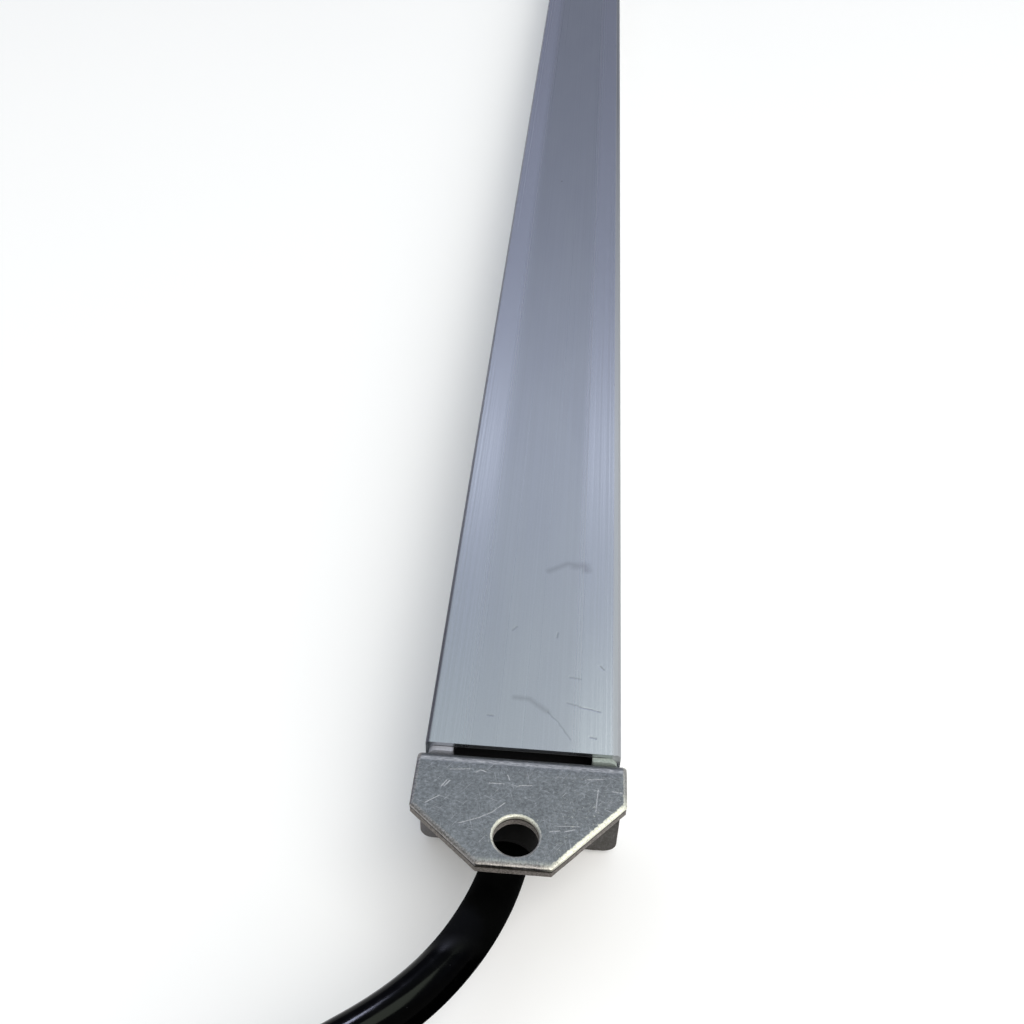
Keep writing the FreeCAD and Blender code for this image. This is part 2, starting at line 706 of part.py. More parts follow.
def all_parts():
    return {
        "housing_extrusion": housing_extrusion(),
        "lens_cover": lens_cover(),
        "lens_seal_left": lens_seal(-1),
        "lens_seal_right": lens_seal(1),
        "board_tape": board_tape(),
        "led_board": led_board(),
        "leds": leds(),
        "led_phosphor": led_phosphor(),
        "resistors": resistors(),
        "polarity_diode": polarity_diode(),
        "solder_joints": solder_joints(),
        "wire_red": core_wire(1),
        "wire_black": core_wire(-1),
        "cable_inlet": cable_inlet(),
        "inner_cable_tie": inner_cable_tie(),
        "cable_grommet": cable_grommet(),
        "gasket_cable_end": gasket_cable_end(),
        "gasket_blind_end": turned(gasket()),
        "bracket_cable_end": bracket_cable_end(),
        "bracket_blind_end": turned(bracket()),
        "washers_cable_end": washers(),
        "washers_blind_end": turned(washers()),
        "end_screws_cable_end": end_screws(),
        "end_screws_blind_end": turned(end_screws()),
        "supply_cable": supply_cable(),
        "cable_coil": cable_coil(),
        "cable_tail": cable_tail(),
        "coil_ties": coil_ties(),
        "connector_boot": connector_boot(),
        "connector_body": connector_body(),
        "connector_nut": connector_nut(),
        "connector_insert": connector_insert(),
        "connector_pins": connector_pins(),
        "connector_seal": connector_seal(),
    }


def report_cable(name, route, solid):
    """Print bend radii, and compare the tube's volume with its section times its length."""
    length = route_wire(route).Length
    ideal = math.pi * CABLE_RADIUS ** 2 * length
    radii = ", ".join("%.0f" % r for r in bend_radii(route))
    print("%s: length %.1f mm, bend radii %s mm" % (name, length, radii))
    print("%s: volume %.0f, section times length %.0f mm3" % (name, solid.Volume, ideal))


def main():
    os.makedirs("parts", exist_ok=True)
    for node, shape in all_parts().items():
        shape.exportStep("parts/%s.step" % node)
        state = "valid" if shape.isValid() else "INVALID"
        print("%-22s %2d solid(s) %10.1f mm3 %s" % (node, len(shape.Solids), shape.Volume, state))
    report_cable("lead", LEAD_ROUTE, tube(LEAD_ROUTE, CABLE_RADIUS))
    report_cable("tail", TAIL_ROUTE, tube(TAIL_ROUTE, CABLE_RADIUS))


main()
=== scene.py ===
"""LED light bar lying lens down, with its brackets and its stored lead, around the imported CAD.

Frame: X across the bar, Y along it (the lead leaves at -Y), +Z up out of the plain back face.
Lengths in the tables below are in millimetres, as in the part's own source, and are turned into
metres where the pieces are made. Texture sizes are in millimetres too.
"""
import math
import random
from functools import partial

import bmesh
import bpy
from mathutils import Matrix, Vector
from mathutils.geometry import area_tri, delaunay_2d_cdt


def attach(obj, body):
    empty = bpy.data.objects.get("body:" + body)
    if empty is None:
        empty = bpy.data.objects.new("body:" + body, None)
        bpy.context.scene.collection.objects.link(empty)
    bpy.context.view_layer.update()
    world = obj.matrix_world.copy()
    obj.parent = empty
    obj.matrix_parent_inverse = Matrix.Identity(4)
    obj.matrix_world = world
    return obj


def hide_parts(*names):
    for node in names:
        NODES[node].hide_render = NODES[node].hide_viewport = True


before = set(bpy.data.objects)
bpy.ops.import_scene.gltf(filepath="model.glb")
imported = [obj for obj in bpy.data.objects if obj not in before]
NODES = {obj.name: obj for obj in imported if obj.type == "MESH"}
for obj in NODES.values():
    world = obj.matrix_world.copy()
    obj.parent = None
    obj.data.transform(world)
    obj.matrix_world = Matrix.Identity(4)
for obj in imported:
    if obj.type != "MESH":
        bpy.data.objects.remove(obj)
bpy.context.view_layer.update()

MM = 0.001
TOP = 21.0  # Back face of the bar and outer face of the tabs.


def linked(name, data):
    """New object with that data, in the scene."""
    obj = bpy.data.objects.new(name, data)
    bpy.context.scene.collection.objects.link(obj)
    return obj


# ---- camera ---------------------------------------------------------------------------------
CAMERA_PLACE = (0.002547, -0.355549, 0.153959)
CAMERA_TURN = (50.27635, -1.52799, 4.18998)  # Degrees about X, Y and Z.
CAMERA_LENS = 39.55
CAMERA_NEAREST = 0.01


def add_camera():
    data = bpy.data.cameras.new("camera")
    data.sensor_width = 36.0
    data.lens = CAMERA_LENS
    data.clip_start = CAMERA_NEAREST
    camera = linked("camera", data)
    camera.location = CAMERA_PLACE
    camera.rotation_euler = [math.radians(angle) for angle in CAMERA_TURN]
    bpy.context.scene.camera = camera


add_camera()

# ---- supply lead ----------------------------------------------------------------------------
CABLE_RADIUS = 3.35
COIL_X = -19.6
FOLD_RADIUS = 20.0
NEAR_FOLD_Y = -335.0
FAR_FOLD_Y = -435.0
LAYER_1 = 3.95
LAYER_2 = 10.65
FOLD_STEPS = 6

# From the bracket to the upper layer of the coil.
LEAD_ROUTE = [
    (0.0, -252.8, 10.0), (-1.0, -263.0, 10.3), (-5.5, -276.1, 11.4), (-13.0, -287.3, 13.5),
    (-25.6, -296.5, 14.1), (-34.6, -311.0, 12.9), (-39.6, -326.5, 10.65), (-39.6, -340.0, 10.65),
]
# From the lower layer of the coil to the connector lying inside it.
TAIL_ROUTE = [
    (0.4, -428.5, 3.95), (-4.8, -412.5, 4.5), (-13.5, -397.0, 5.9), (-19.6, -381.0, 7.0),
    (-19.6, -366.5, 7.0),
]
# The right-hand run of the coil comes down from the upper layer to the lower one.
DESCENT = [(0.4, -415.0, LAYER_2), (0.4, -365.0, LAYER_1)]


def fold(centre_y, first_angle, z):
    """Half a turn of the coil, anticlockwise seen from above, from that angle in degrees."""
    step = 180.0 / FOLD_STEPS
    reach = FOLD_RADIUS / math.cos(math.radians(step / 2))
    points = []
    for i in range(FOLD_STEPS):
        angle = math.radians(first_angle + step * (i + 0.5))
        points.append((COIL_X + reach * math.cos(angle), centre_y + reach * math.sin(angle), z))
    return points


def lead_points():
    points = LEAD_ROUTE + fold(FAR_FOLD_Y, 180, LAYER_2) + DESCENT
    points += fold(NEAR_FOLD_Y, 0, LAYER_1) + fold(FAR_FOLD_Y, 180, LAYER_1)
    return points + TAIL_ROUTE


def add_lead():
    curve = bpy.data.curves.new("supply_lead", "CURVE")
    curve.dimensions = "3D"
    curve.resolution_u = 12
    curve.bevel_depth = CABLE_RADIUS * MM
    curve.bevel_resolution = 10
    curve.use_fill_caps = True
    spline = curve.splines.new("NURBS")
    points = lead_points()
    spline.points.add(len(points) - 1)
    for point, place in zip(spline.points, points):
        point.co = (*(c * MM for c in place), 1.0)
    spline.order_u = 3
    spline.use_endpoint_u = True
    return linked("supply_lead", curve)


lead = add_lead()


# ---- materials ------------------------------------------------------------------------------
def stroke_group():
    """Node group: 1 on a straight stroke from Start along Run, falling to 0 at Width from it."""
    tree = bpy.data.node_groups.new("stroke", "ShaderNodeTree")
    for name, kind in (("Point", "Vector"), ("Start", "Vector"), ("Run", "Vector"),
                       ("Width", "Float")):
        tree.interface.new_socket(name, in_out="INPUT", socket_type="NodeSocket" + kind)
    tree.interface.new_socket("Mask", in_out="OUTPUT", socket_type="NodeSocketFloat")
    given = tree.nodes.new("NodeGroupInput").outputs
    result = tree.nodes.new("NodeGroupOutput").inputs

    def vector(operation, a, b, out=0):
        node = tree.nodes.new("ShaderNodeVectorMath")
        node.operation = operation
        tree.links.new(a, node.inputs[0])
        tree.links.new(b, node.inputs["Scale" if operation == "SCALE" else 1])
        return node.outputs[out]

    offset = vector("SUBTRACT", given["Point"], given["Start"])
    share = tree.nodes.new("ShaderNodeMath")
    share.operation = "DIVIDE"
    share.use_clamp = True
    tree.links.new(vector("DOT_PRODUCT", offset, given["Run"], "Value"), share.inputs[0])
    tree.links.new(vector("DOT_PRODUCT", given["Run"], given["Run"], "Value"), share.inputs[1])
    away = vector("SUBTRACT", offset, vector("SCALE", given["Run"], share.outputs[0]))
    length = tree.nodes.new("ShaderNodeVectorMath")
    length.operation = "LENGTH"
    tree.links.new(away, length.inputs[0])
    fade = tree.nodes.new("ShaderNodeMapRange")
    fade.inputs["To Min"].default_value = 1.0
    fade.inputs["To Max"].default_value = 0.0
    tree.links.new(length.outputs["Value"], fade.inputs["Value"])
    tree.links.new(given["Width"], fade.inputs["From Max"])
    tree.links.new(fade.outputs[0], result["Mask"])
    return tree


STROKE = stroke_group()


def chain(width, *points):
    """Strokes of that width, one after another through points of the top face."""
    return [(*a, *b, width) for a, b in zip(points, points[1:])]


# Marks on the back of the bar and on the tabs of the two brackets.
BAR_SMEARS = (chain(0.9, (2.0, -211.0), (5.2, -208.8), (8.4, -209.2))
              + chain(1.3, (6.4, -209.3), (8.2, -209.0), (8.5, -210.2))
              + chain(0.7, (-1.9, -240.2), (0.5, -240.4), (3.3, -242.7)))
BAR_SCRATCHES = (chain(0.22, (3.3, -242.7), (5.0, -244.6), (6.9, -247.7))
                 + chain(0.25, (6.2, -240.6), (8.9, -241.4), (11.3, -241.9))
                 + chain(0.30, (-3.3, -225.9), (-2.6, -225.0))
                 + chain(0.30, (4.0, -226.9), (4.2, -225.8))
                 + chain(0.30, (11.2, -232.5), (11.7, -233.2))
                 + chain(0.28, (6.4, -235.3), (8.1, -235.5))
                 + chain(0.25, (-5.8, -244.1), (-4.9, -244.2))
                 + chain(0.30, (9.9, -246.9), (10.7, -247.1)))
BRACKET_MARKS = (
    chain(0.10, (-8.1, -263.7), (-5.4, -262.6), (-3.6, -261.5), (-1.9, -259.8))
    + chain(0.14, (-11.2, -257.8), (-10.5, -256.6))
    + chain(0.14, (-10.8, -257.7), (-10.1, -256.7))
    + chain(0.10, (-10.3, -254.7), (-7.4, -254.4))
    + chain(0.12, (-6.5, -254.9), (-5.8, -254.4), (-5.0, -254.7))
    + chain(0.12, (-4.4, -256.6), (-2.3, -256.6))
    + chain(0.12, (-0.1, -256.7), (1.7, -256.5))
    + chain(0.14, (-1.9, -255.0), (-1.5, -255.8))
    + chain(0.10, (9.4, -254.8), (12.0, -254.5))
    + chain(0.12, (11.2, -256.4), (10.9, -260.1))
    + chain(0.12, (4.6, -264.0), (6.0, -263.7))
    + chain(0.14, (6.7, -263.8), (8.1, -263.3))
    + chain(0.08, (5.3, -263.0), (8.8, -262.8))
    + chain(0.10, (-13.1, -260.7), (-11.2, -259.3))
    + chain(0.12, (13.2, -256.5), (14.6, -256.6))
    + chain(0.10, (-9.0, 258.2), (-6.1, 259.9), (-4.4, 261.8))
    + chain(0.12, (3.9, 256.0), (7.2, 255.4))
    + chain(0.12, (9.8, 257.1), (11.0, 259.6))
    + chain(0.10, (-2.1, 268.0), (1.6, 267.3), (3.0, 268.4))
    + chain(0.08, (-12.8, 255.1), (-12.1, 257.7))
)


def set_stops(elements, stops):
    """Give a colour ramp its stops of (position, colour)."""
    while len(elements) < len(stops):
        elements.new(0.5)
    for element, (position, colour) in zip(elements, stops):
        element.position = position
        element.color = (*colour, 1.0)


class Paint:
    """One procedural material, in object coordinates and millimetres."""

    RAGGEDNESS = 0.35
    HAIRLINES = ((20.0, 3.0), (75.0, 11.0), (128.0, 23.0))  # Turn in degrees, and an offset.

    def __init__(self, name, **sockets):
        self.material = bpy.data.materials.new(name)
        self.material.use_nodes = True
        self.tree = self.material.node_tree
        self.shader = self.tree.nodes["Principled BSDF"]
        for key, value in sockets.items():
            self.shader.inputs[key.replace("_", " ")].default_value = value
        source = self.node("TexCoord", out="Object")
        self.place = self.node("VectorMath", {0: source, 1: (1000, 1000, 1000)},
                               operation="MULTIPLY")
        self.normal = None

    def node(self, kind, inputs=None, out=0, **settings):
        node = self.tree.nodes.new("ShaderNode" + kind)
        for key, value in settings.items():
            setattr(node, key, value)
        for key, value in (inputs or {}).items():
            if isinstance(value, bpy.types.NodeSocket):
                self.tree.links.new(value, node.inputs[key])
            else:
                node.inputs[key].default_value = value
        return node.outputs[out]

    def math(self, operation, a, b=0.0):
        return self.node("Math", {0: a, 1: b}, operation=operation)

    def chained(self, operation, values):
        total = values[0]
        for value in values[1:]:
            total = self.math(operation, total, value)
        return total

    def plus(self, *values):
        return self.chained("ADD", values)

    def times(self, *values):
        return self.chained("MULTIPLY", values)

    def most(self, *values):
        return self.chained("MAXIMUM", values)

    def fit(self, value, low, high, out_low=0.0, out_high=1.0):
        return self.node("MapRange", {"Value": value, "From Min": low, "From Max": high,
                                      "To Min": out_low, "To Max": out_high})

    def axes(self):
        """X, Y and Z in millimetres."""
        split = self.node("SeparateXYZ", {0: self.place}).node
        return split.outputs[0], split.outputs[1], split.outputs[2]

    def stretched(self, size):
        """Coordinates divided by a size along each axis."""
        return self.node("VectorMath", {0: self.place, 1: [1.0 / s for s in size]},
                         operation="MULTIPLY")

    def noise(self, size, detail=3.0, rough=0.55, distortion=0.0):
        """Noise whose lumps are about that many millimetres, as one size or one for each axis."""
        size = size if isinstance(size, (tuple, list)) else (size,) * 3
        return self.node("TexNoise", {"Vector": self.stretched(size), "Scale": 1.0,
                                      "Detail": detail, "Roughness": rough,
                                      "Distortion": distortion})

    def cells(self, size, feature="F1", out="Distance"):
        size = size if isinstance(size, (tuple, list)) else (size,) * 3
        return self.node("TexVoronoi", {"Vector": self.stretched(size), "Scale": 1.0}, out=out,
                         feature=feature)

    def strokes(self, marks, ragged):
        """1 on the marks and 0 off them. A mark is (x, y, x, y, width), with ragged edges."""
        centred = self.math("SUBTRACT", ragged, 0.5)
        both = self.node("CombineXYZ", {0: centred, 1: centred})
        shake = self.node("VectorMath", {0: both, "Scale": self.RAGGEDNESS}, operation="SCALE")
        point = self.node("VectorMath", {0: self.place, 1: shake}, operation="ADD")
        total = None
        for x0, y0, x1, y1, width in marks:
            mark = self.node("Group", node_tree=STROKE, inputs={
                "Point": point, "Start": (x0, y0, TOP), "Run": (x1 - x0, y1 - y0, 0.0),
                "Width": width})
            total = mark if total is None else self.most(total, mark)
        return total

    def hairlines(self):
        """Fine short scratches in three directions."""
        total = None
        for turn, offset in self.HAIRLINES:
            turned = self.node("Mapping", {"Vector": self.place, "Location": (offset, offset, 0),
                                           "Rotation": (0, 0, math.radians(turn))})
            lines = self.node("TexNoise", {
                "Vector": self.node("VectorMath", {0: turned, 1: (0.35, 9.0, 0.35)},
                                    operation="MULTIPLY"),
                "Scale": 1.0, "Detail": 2.0})
            lines = self.fit(lines, 0.66, 0.74)
            total = lines if total is None else self.most(total, lines)
        return total

    def mix_value(self, factor, a, b):
        """Number between a and b."""
        return self.node("Mix", {0: factor, 2: a, 3: b})

    def mix(self, factor, a, b):
        """Colour between a and b. Colours are linear, three numbers, or a socket."""
        colours = [c if isinstance(c, bpy.types.NodeSocket) else (*c, 1.0) for c in (a, b)]
        return self.node("Mix", {0: factor, 6: colours[0], 7: colours[1]}, out=2,
                         data_type="RGBA")

    def ramp(self, value, *stops):
        """Colour along stops of (position, colour)."""
        output = self.node("ValToRGB", {0: value})
        set_stops(output.node.color_ramp.elements, stops)
        return output

    def bump(self, height, depth, strength=1.0):
        """Relief of that depth in millimetres, added to the relief so far."""
        inputs = {"Height": height, "Distance": depth * MM, "Strength": strength}
        if self.normal is not None:
            inputs["Normal"] = self.normal
        self.normal = self.node("Bump", inputs)

    def set(self, **sockets):
        for key, value in sockets.items():
            self.tree.links.new(value, self.shader.inputs[key.replace("_", " ")])

    def done(self):
        if self.normal is not None:
            self.tree.links.new(self.normal, self.shader.inputs["Normal"])
        return self.material


def grey(value, warmth=0.0):
    return (value * (1 + warmth), value, value * (1 - warmth))


def mottled(name, dark, light, size=3.0, rough=(0.4, 0.6), relief=0.02, grain=0.4, **sockets):
    """Moulded or plain finish: uneven colour, uneven gloss and a fine grain."""
    paint = Paint(name, **sockets)
    patches = paint.noise(size, 4)
    fine = paint.noise(grain, 2)
    both = paint.plus(paint.times(patches, 0.7), paint.times(fine, 0.3))
    paint.set(Base_Color=paint.ramp(both, (0.3, dark), (0.7, light)),
              Roughness=paint.fit(patches, 0.3, 0.7, *rough))
    paint.bump(fine, relief, 0.6)
    return paint.done()


def anodised_bar():
    """Satin anodised extrusion: die lines along Y, and smoother bands over the solid corners,
    lighter in part as a painted reflection. Painted light too: painted reflections at the far
    corners, painted shade on the left edge and inside, painted light on the right side.
    """
    paint = Paint("anodised_bar", Metallic=1.0)
    x, y, z = paint.axes()
    lines = paint.noise((0.35, 900.0, 0.35), 3, 0.7)
    fine_lines = paint.noise((0.12, 160.0, 0.12), 2, 0.6)
    broad = paint.noise((2.2, 2500.0, 2.2), 2)
    haze = paint.noise((7.0, 30.0, 7.0), 4)
    grain = paint.noise(0.28, 2)
    across = paint.math("ABSOLUTE", paint.plus(x, 0.4))
    # Lighter, smoother bands over the solid corners: a tone of the extrusion, and in part a painted
    # reflection.
    band = paint.fit(paint.plus(across, paint.fit(broad, 0.3, 0.7, -0.4, 0.4)), 6.8, 9.2)
    colour = paint.mix(band, (0.515, 0.535, 0.565), (0.635, 0.655, 0.685))
    # Painted reflection: the right corner band is lightened towards the far end.
    painted_sheen_far_right = paint.times(paint.fit(y, -160.0, -40.0), paint.fit(x, 7.0, 9.0, 0, 0.85))
    colour = paint.mix(painted_sheen_far_right, colour, (0.80, 0.82, 0.85))
    colour = paint.mix(paint.fit(lines, 0.35, 0.65, 0, 0.4), colour, (0.46, 0.48, 0.50))
    for dark_grain in (fine_lines, grain):
        colour = paint.mix(paint.fit(dark_grain, 0.35, 0.65, 0, 0.14), colour, (0.33, 0.34, 0.36))
    colour = paint.mix(paint.fit(haze, 0.3, 0.75, 0, 0.25), colour, (0.58, 0.61, 0.60))
    # Painted reflection: the left corner band is lightened towards the far end.
    painted_sheen_far_left = paint.times(paint.fit(y, -160.0, -20.0, 0, 0.75), paint.fit(x, -8.0, -10.0))
    colour = paint.mix(painted_sheen_far_left, colour, (0.80, 0.82, 0.86))
    smear = paint.strokes(BAR_SMEARS, paint.noise(2.0, 4))
    scratch = paint.strokes(BAR_SCRATCHES, paint.noise(0.8, 4))
    colour = paint.mix(paint.times(smear, 0.45), colour, (0.28, 0.28, 0.30))
    colour = paint.mix(paint.times(scratch, 0.45), colour, (0.22, 0.23, 0.25))
    pits = paint.fit(paint.cells((9.0, 14.0, 9.0)), 0.035, 0.02)
    colour = paint.mix(paint.times(pits, 0.6), colour, (0.18, 0.19, 0.20))
    # Painted shade: the left edge of the back face is darkened, most at the cable end.
    edge = paint.times(paint.fit(x, -13.7, -14.1), paint.fit(z, 20.4, 20.7),
                       paint.fit(y, -235.0, -165.0, 0.85, 0.1))
    colour = paint.mix(edge, colour, (0.20, 0.20, 0.22))
    # Painted light: the right side just below the back face is lighter and less metallic towards
    # the cable end, and darker towards the far end.
    lit_edge = paint.times(paint.fit(x, 13.1, 13.5), paint.fit(z, 19.0, 20.0))
    edge_colour = paint.mix(paint.fit(y, -170.0, 20.0), (0.40, 0.42, 0.44), (0.17, 0.18, 0.20))
    colour = paint.mix(lit_edge, colour, edge_colour)
    # Painted shade: near black inside the housing below the back wall, where the slot at the ends
    # is in shade.
    inside = paint.times(paint.fit(across, 13.0, 12.6), paint.fit(z, 20.4, 20.2))
    colour = paint.mix(inside, colour, (0.05, 0.05, 0.055))
    rough = paint.plus(paint.fit(band, 0, 1, 0.31, 0.24),
                       paint.fit(lines, 0.3, 0.7, -0.04, 0.04), paint.times(inside, 0.4))
    paint.set(Base_Color=colour, Roughness=rough, Metallic=paint.fit(lit_edge, 0, 1, 1.0, 0.25))
    paint.bump(lines, 0.010, 0.6)
    paint.bump(fine_lines, 0.004, 0.5)
    paint.bump(haze, 0.02, 0.2)
    paint.bump(paint.plus(scratch, pits), -0.03, 0.6)
    return paint.done()


HOLE_Y = 265.0


def bracket_steel():
    """Worn mill-finish sheet. A sheared edge is burnished next to the top face and torn below, with
    a painted highlight where it faces the key light and painted shade beneath the tab.

    The mesh says how far a point is into a sheared edge (rim) and below the top face (depth).
    """
    paint = Paint("bracket_steel", Metallic=1.0)
    x, y, z = paint.axes()
    rim = paint.node("Attribute", out="Fac", attribute_name="rim")
    depth = paint.node("Attribute", out="Fac", attribute_name="depth")
    reach = paint.math("ABSOLUTE", y)
    patches = paint.noise(2.5, 5, 0.6)
    speck = paint.noise((0.55, 0.42, 0.5), 5, 0.8, 0.4)
    both = paint.plus(paint.times(patches, 0.2), paint.times(speck, 0.8))
    colour = paint.ramp(both, (0.32, (0.13, 0.138, 0.143)), (0.5, (0.228, 0.239, 0.248)),
                        (0.68, (0.38, 0.395, 0.41)))
    scratch = paint.strokes(BRACKET_MARKS, paint.noise(0.45, 5, 0.7))
    broken = paint.times(scratch, paint.fit(paint.noise(0.3, 3, 0.7), 0.34, 0.48))
    # Lighter broken dashes along the crest of the bend: wear, and a painted highlight.
    crest = paint.times(paint.fit(reach, 252.2, 252.6), paint.fit(reach, 253.4, 253.0),
                        paint.fit(z, 20.4, 20.7))
    dashes = paint.noise((0.9, 0.2, 0.5), 4, 0.7)
    worn_crest_and_highlight = paint.times(crest, paint.fit(dashes, 0.40, 0.62, 0.25, 1.0))
    bright = paint.most(paint.times(paint.hairlines(), 0.6), broken, worn_crest_and_highlight)
    colour = paint.mix(bright, colour, (0.54, 0.55, 0.575))
    rough = paint.fit(both, 0.3, 0.7, 0.52, 0.38)
    # Sheared edges.
    streaks = paint.noise((0.22, 0.22, 2.5), 3, 0.65)
    ragged = paint.plus(depth, paint.fit(streaks, 0.3, 0.7, -0.10, 0.10))
    # Painted highlight: the burnished band is pale and warm where it faces the key light, at the
    # right chamfer and the upper-left crescent of the hole, and a painted shaded grey elsewhere.
    lit = paint.mix(paint.fit(streaks, 0.35, 0.65), (0.72, 0.72, 0.58), (0.96, 0.96, 0.84))
    nicks = paint.fit(paint.noise(0.28, 2, 0.5), 0.62, 0.68, 0.0, 0.75)
    lit = paint.mix(nicks, lit, (0.20, 0.19, 0.15))
    shaded_burnish = paint.mix(paint.fit(streaks, 0.35, 0.65), (0.16, 0.155, 0.15), (0.42, 0.40, 0.39))
    inward = paint.math("SUBTRACT", HOLE_Y, reach)
    from_hole = paint.math("SQRT", paint.plus(paint.times(x, x), paint.times(inward, inward)))
    towards = paint.math("SUBTRACT", inward, paint.times(x, 0.6))
    crescent = paint.times(paint.fit(from_hole, 4.8, 4.3), paint.fit(towards, -2.5, 1.5, 0.1, 0.7))
    chamfer = paint.times(paint.fit(x, 3.5, 7.0), paint.fit(reach, 256.5, 259.5, 0.25, 1))
    facing_key = paint.most(chamfer, crescent)
    # The burnished band with its painted light and painted shade.
    burnished = paint.mix(facing_key, shaded_burnish, lit)
    torn = paint.mix(paint.fit(paint.noise(0.3, 4, 0.7), 0.35, 0.65), (0.10, 0.09, 0.082),
                     (0.30, 0.275, 0.26))
    cut = paint.mix(paint.fit(ragged, 0.62, 0.70), burnished, torn)
    seam = paint.times(paint.fit(ragged, 0.62, 0.70), paint.fit(ragged, 1.06, 0.92))
    cut = paint.mix(seam, cut, (0.022, 0.018, 0.012))
    # Pale warm strokes along the front roll-over: burnish, lightened and warmed as a painted
    # highlight of the warm key light.
    front = paint.times(paint.fit(reach, 268.6, 269.3), paint.fit(z, 20.4, 20.6))
    strokes = paint.fit(paint.noise((0.22, 1.6, 0.5), 3, 0.7), 0.42, 0.60, 0.15, 0.8)
    colour = paint.mix(paint.times(front, strokes), colour, (0.62, 0.62, 0.55))
    worn_to = paint.plus(rim, paint.fit(paint.noise(0.5, 4, 0.7), 0.3, 0.7, -0.22, 0.22))
    rolled = paint.fit(worn_to, 0.10, 0.28)
    colour = paint.mix(rolled, colour, cut)
    # Painted glint: the roll-over facing the key light turns whitish and less metallic.
    painted_glint = paint.times(rolled, facing_key, paint.fit(ragged, 0.70, 0.62, 0.0, 0.85))
    rough = paint.mix_value(rim, rough, paint.fit(ragged, 0.55, 0.75, 0.3, 0.65))
    # Painted shade beneath the tab and down the outer face of the flange: darker towards its foot
    # and on the +X side, and near black in the middle at the cable end.
    outer = paint.times(paint.fit(depth, 0.5, 0.9), paint.fit(z, 18.9, 18.2))
    painted_shadow_beneath = paint.times(outer, paint.fit(paint.math("ABSOLUTE", x), 10.0, 7.0, 0, 0.97),
                        paint.fit(y, 10.0, -10.0))
    shade = paint.mix(paint.fit(x, -8.0, 8.0), (0.20, 0.185, 0.185), (0.05, 0.041, 0.032))
    low = paint.times(outer, paint.fit(z, 17.5, 12.0, 0, 0.75))
    colour = paint.mix(low, colour, shade)
    colour = paint.mix(painted_shadow_beneath, colour, (0.012, 0.012, 0.012))
    rough = paint.mix_value(painted_shadow_beneath, rough, 0.7)
    # Less metallic on the scratches, on the worn crest with its painted highlight, and on the
    # painted glint.
    matt = paint.most(bright, painted_glint,
                      paint.times(rolled, paint.fit(ragged, 0.62, 0.70, 0.0, 0.6)))
    paint.set(Base_Color=colour, Roughness=rough, Metallic=paint.fit(matt, 0, 1, 1.0, 0.2))
    paint.bump(speck, 0.035, 0.7)
    paint.bump(patches, 0.05, 0.25)
    paint.bump(broken, -0.05, 0.6)
    paint.bump(paint.times(paint.noise(0.25, 4, 0.7), rim), 0.08, 0.6)
    return paint.done()


def glossy_jacket():
    """Black PVC cable jacket, a little wavy and scuffed, and matt where it leaves the bracket."""
    paint = Paint("glossy_jacket", IOR=1.12)
    scuffs = paint.noise(1.5, 5, 0.65)
    waves = paint.noise(9.0, 2)
    dust = paint.cells(1.7)
    colour = paint.mix(paint.fit(scuffs, 0.5, 0.8, 0, 0.6), (0.0003, 0.0003, 0.0004), grey(0.0015))
    colour = paint.mix(paint.fit(dust, 0.045, 0.02, 0, 0.3), colour, grey(0.05))
    _, y, _ = paint.axes()
    rough = paint.fit(scuffs, 0.35, 0.7, 0.12, 0.17)
    paint.set(Base_Color=colour,
              Roughness=paint.mix_value(paint.fit(y, -280.0, -276.5), rough, 0.9))
    paint.bump(waves, 0.25, 0.30)
    paint.bump(scuffs, 0.02, 0.2)
    return paint.done()


def gasket_foam():
    """Pale grey-green gasket with painted shade: darker and bluer towards -X, and near black across
    the middle.
    """
    paint = Paint("gasket_foam", Roughness=0.62)
    x, y, z = paint.axes()
    cells = paint.noise(0.35, 4, 0.65)
    # Painted shade: the -X side is a darker, bluer grey and the +X side a lighter grey-green, where
    # the light falls.
    left = paint.ramp(cells, (0.3, (0.26, 0.27, 0.31)), (0.7, (0.38, 0.39, 0.44)))
    right = paint.ramp(cells, (0.3, (0.24, 0.28, 0.26)), (0.7, (0.38, 0.43, 0.40)))
    colour = paint.mix(paint.fit(x, -6.0, 6.0), left, right)
    # Painted shade: the middle, seen down the shaded slot at the end, is near black.
    middle = paint.fit(paint.math("ABSOLUTE", x), 10.6, 10.0)
    paint.set(Base_Color=paint.mix(middle, colour, (0.01, 0.01, 0.01)))
    paint.bump(cells, 0.06, 0.6)
    return paint.done()


def opal_plastic():
    paint = Paint("opal_plastic", Transmission_Weight=0.7, IOR=1.49)
    flow = paint.noise((4.0, 60.0, 4.0), 3)
    paint.set(Base_Color=paint.ramp(flow, (0.3, (0.80, 0.82, 0.83)), (0.7, (0.90, 0.92, 0.92))),
              Roughness=paint.fit(flow, 0.3, 0.7, 0.30, 0.38))
    paint.bump(paint.noise((0.5, 40.0, 0.5), 2), 0.01, 0.4)
    return paint.done()


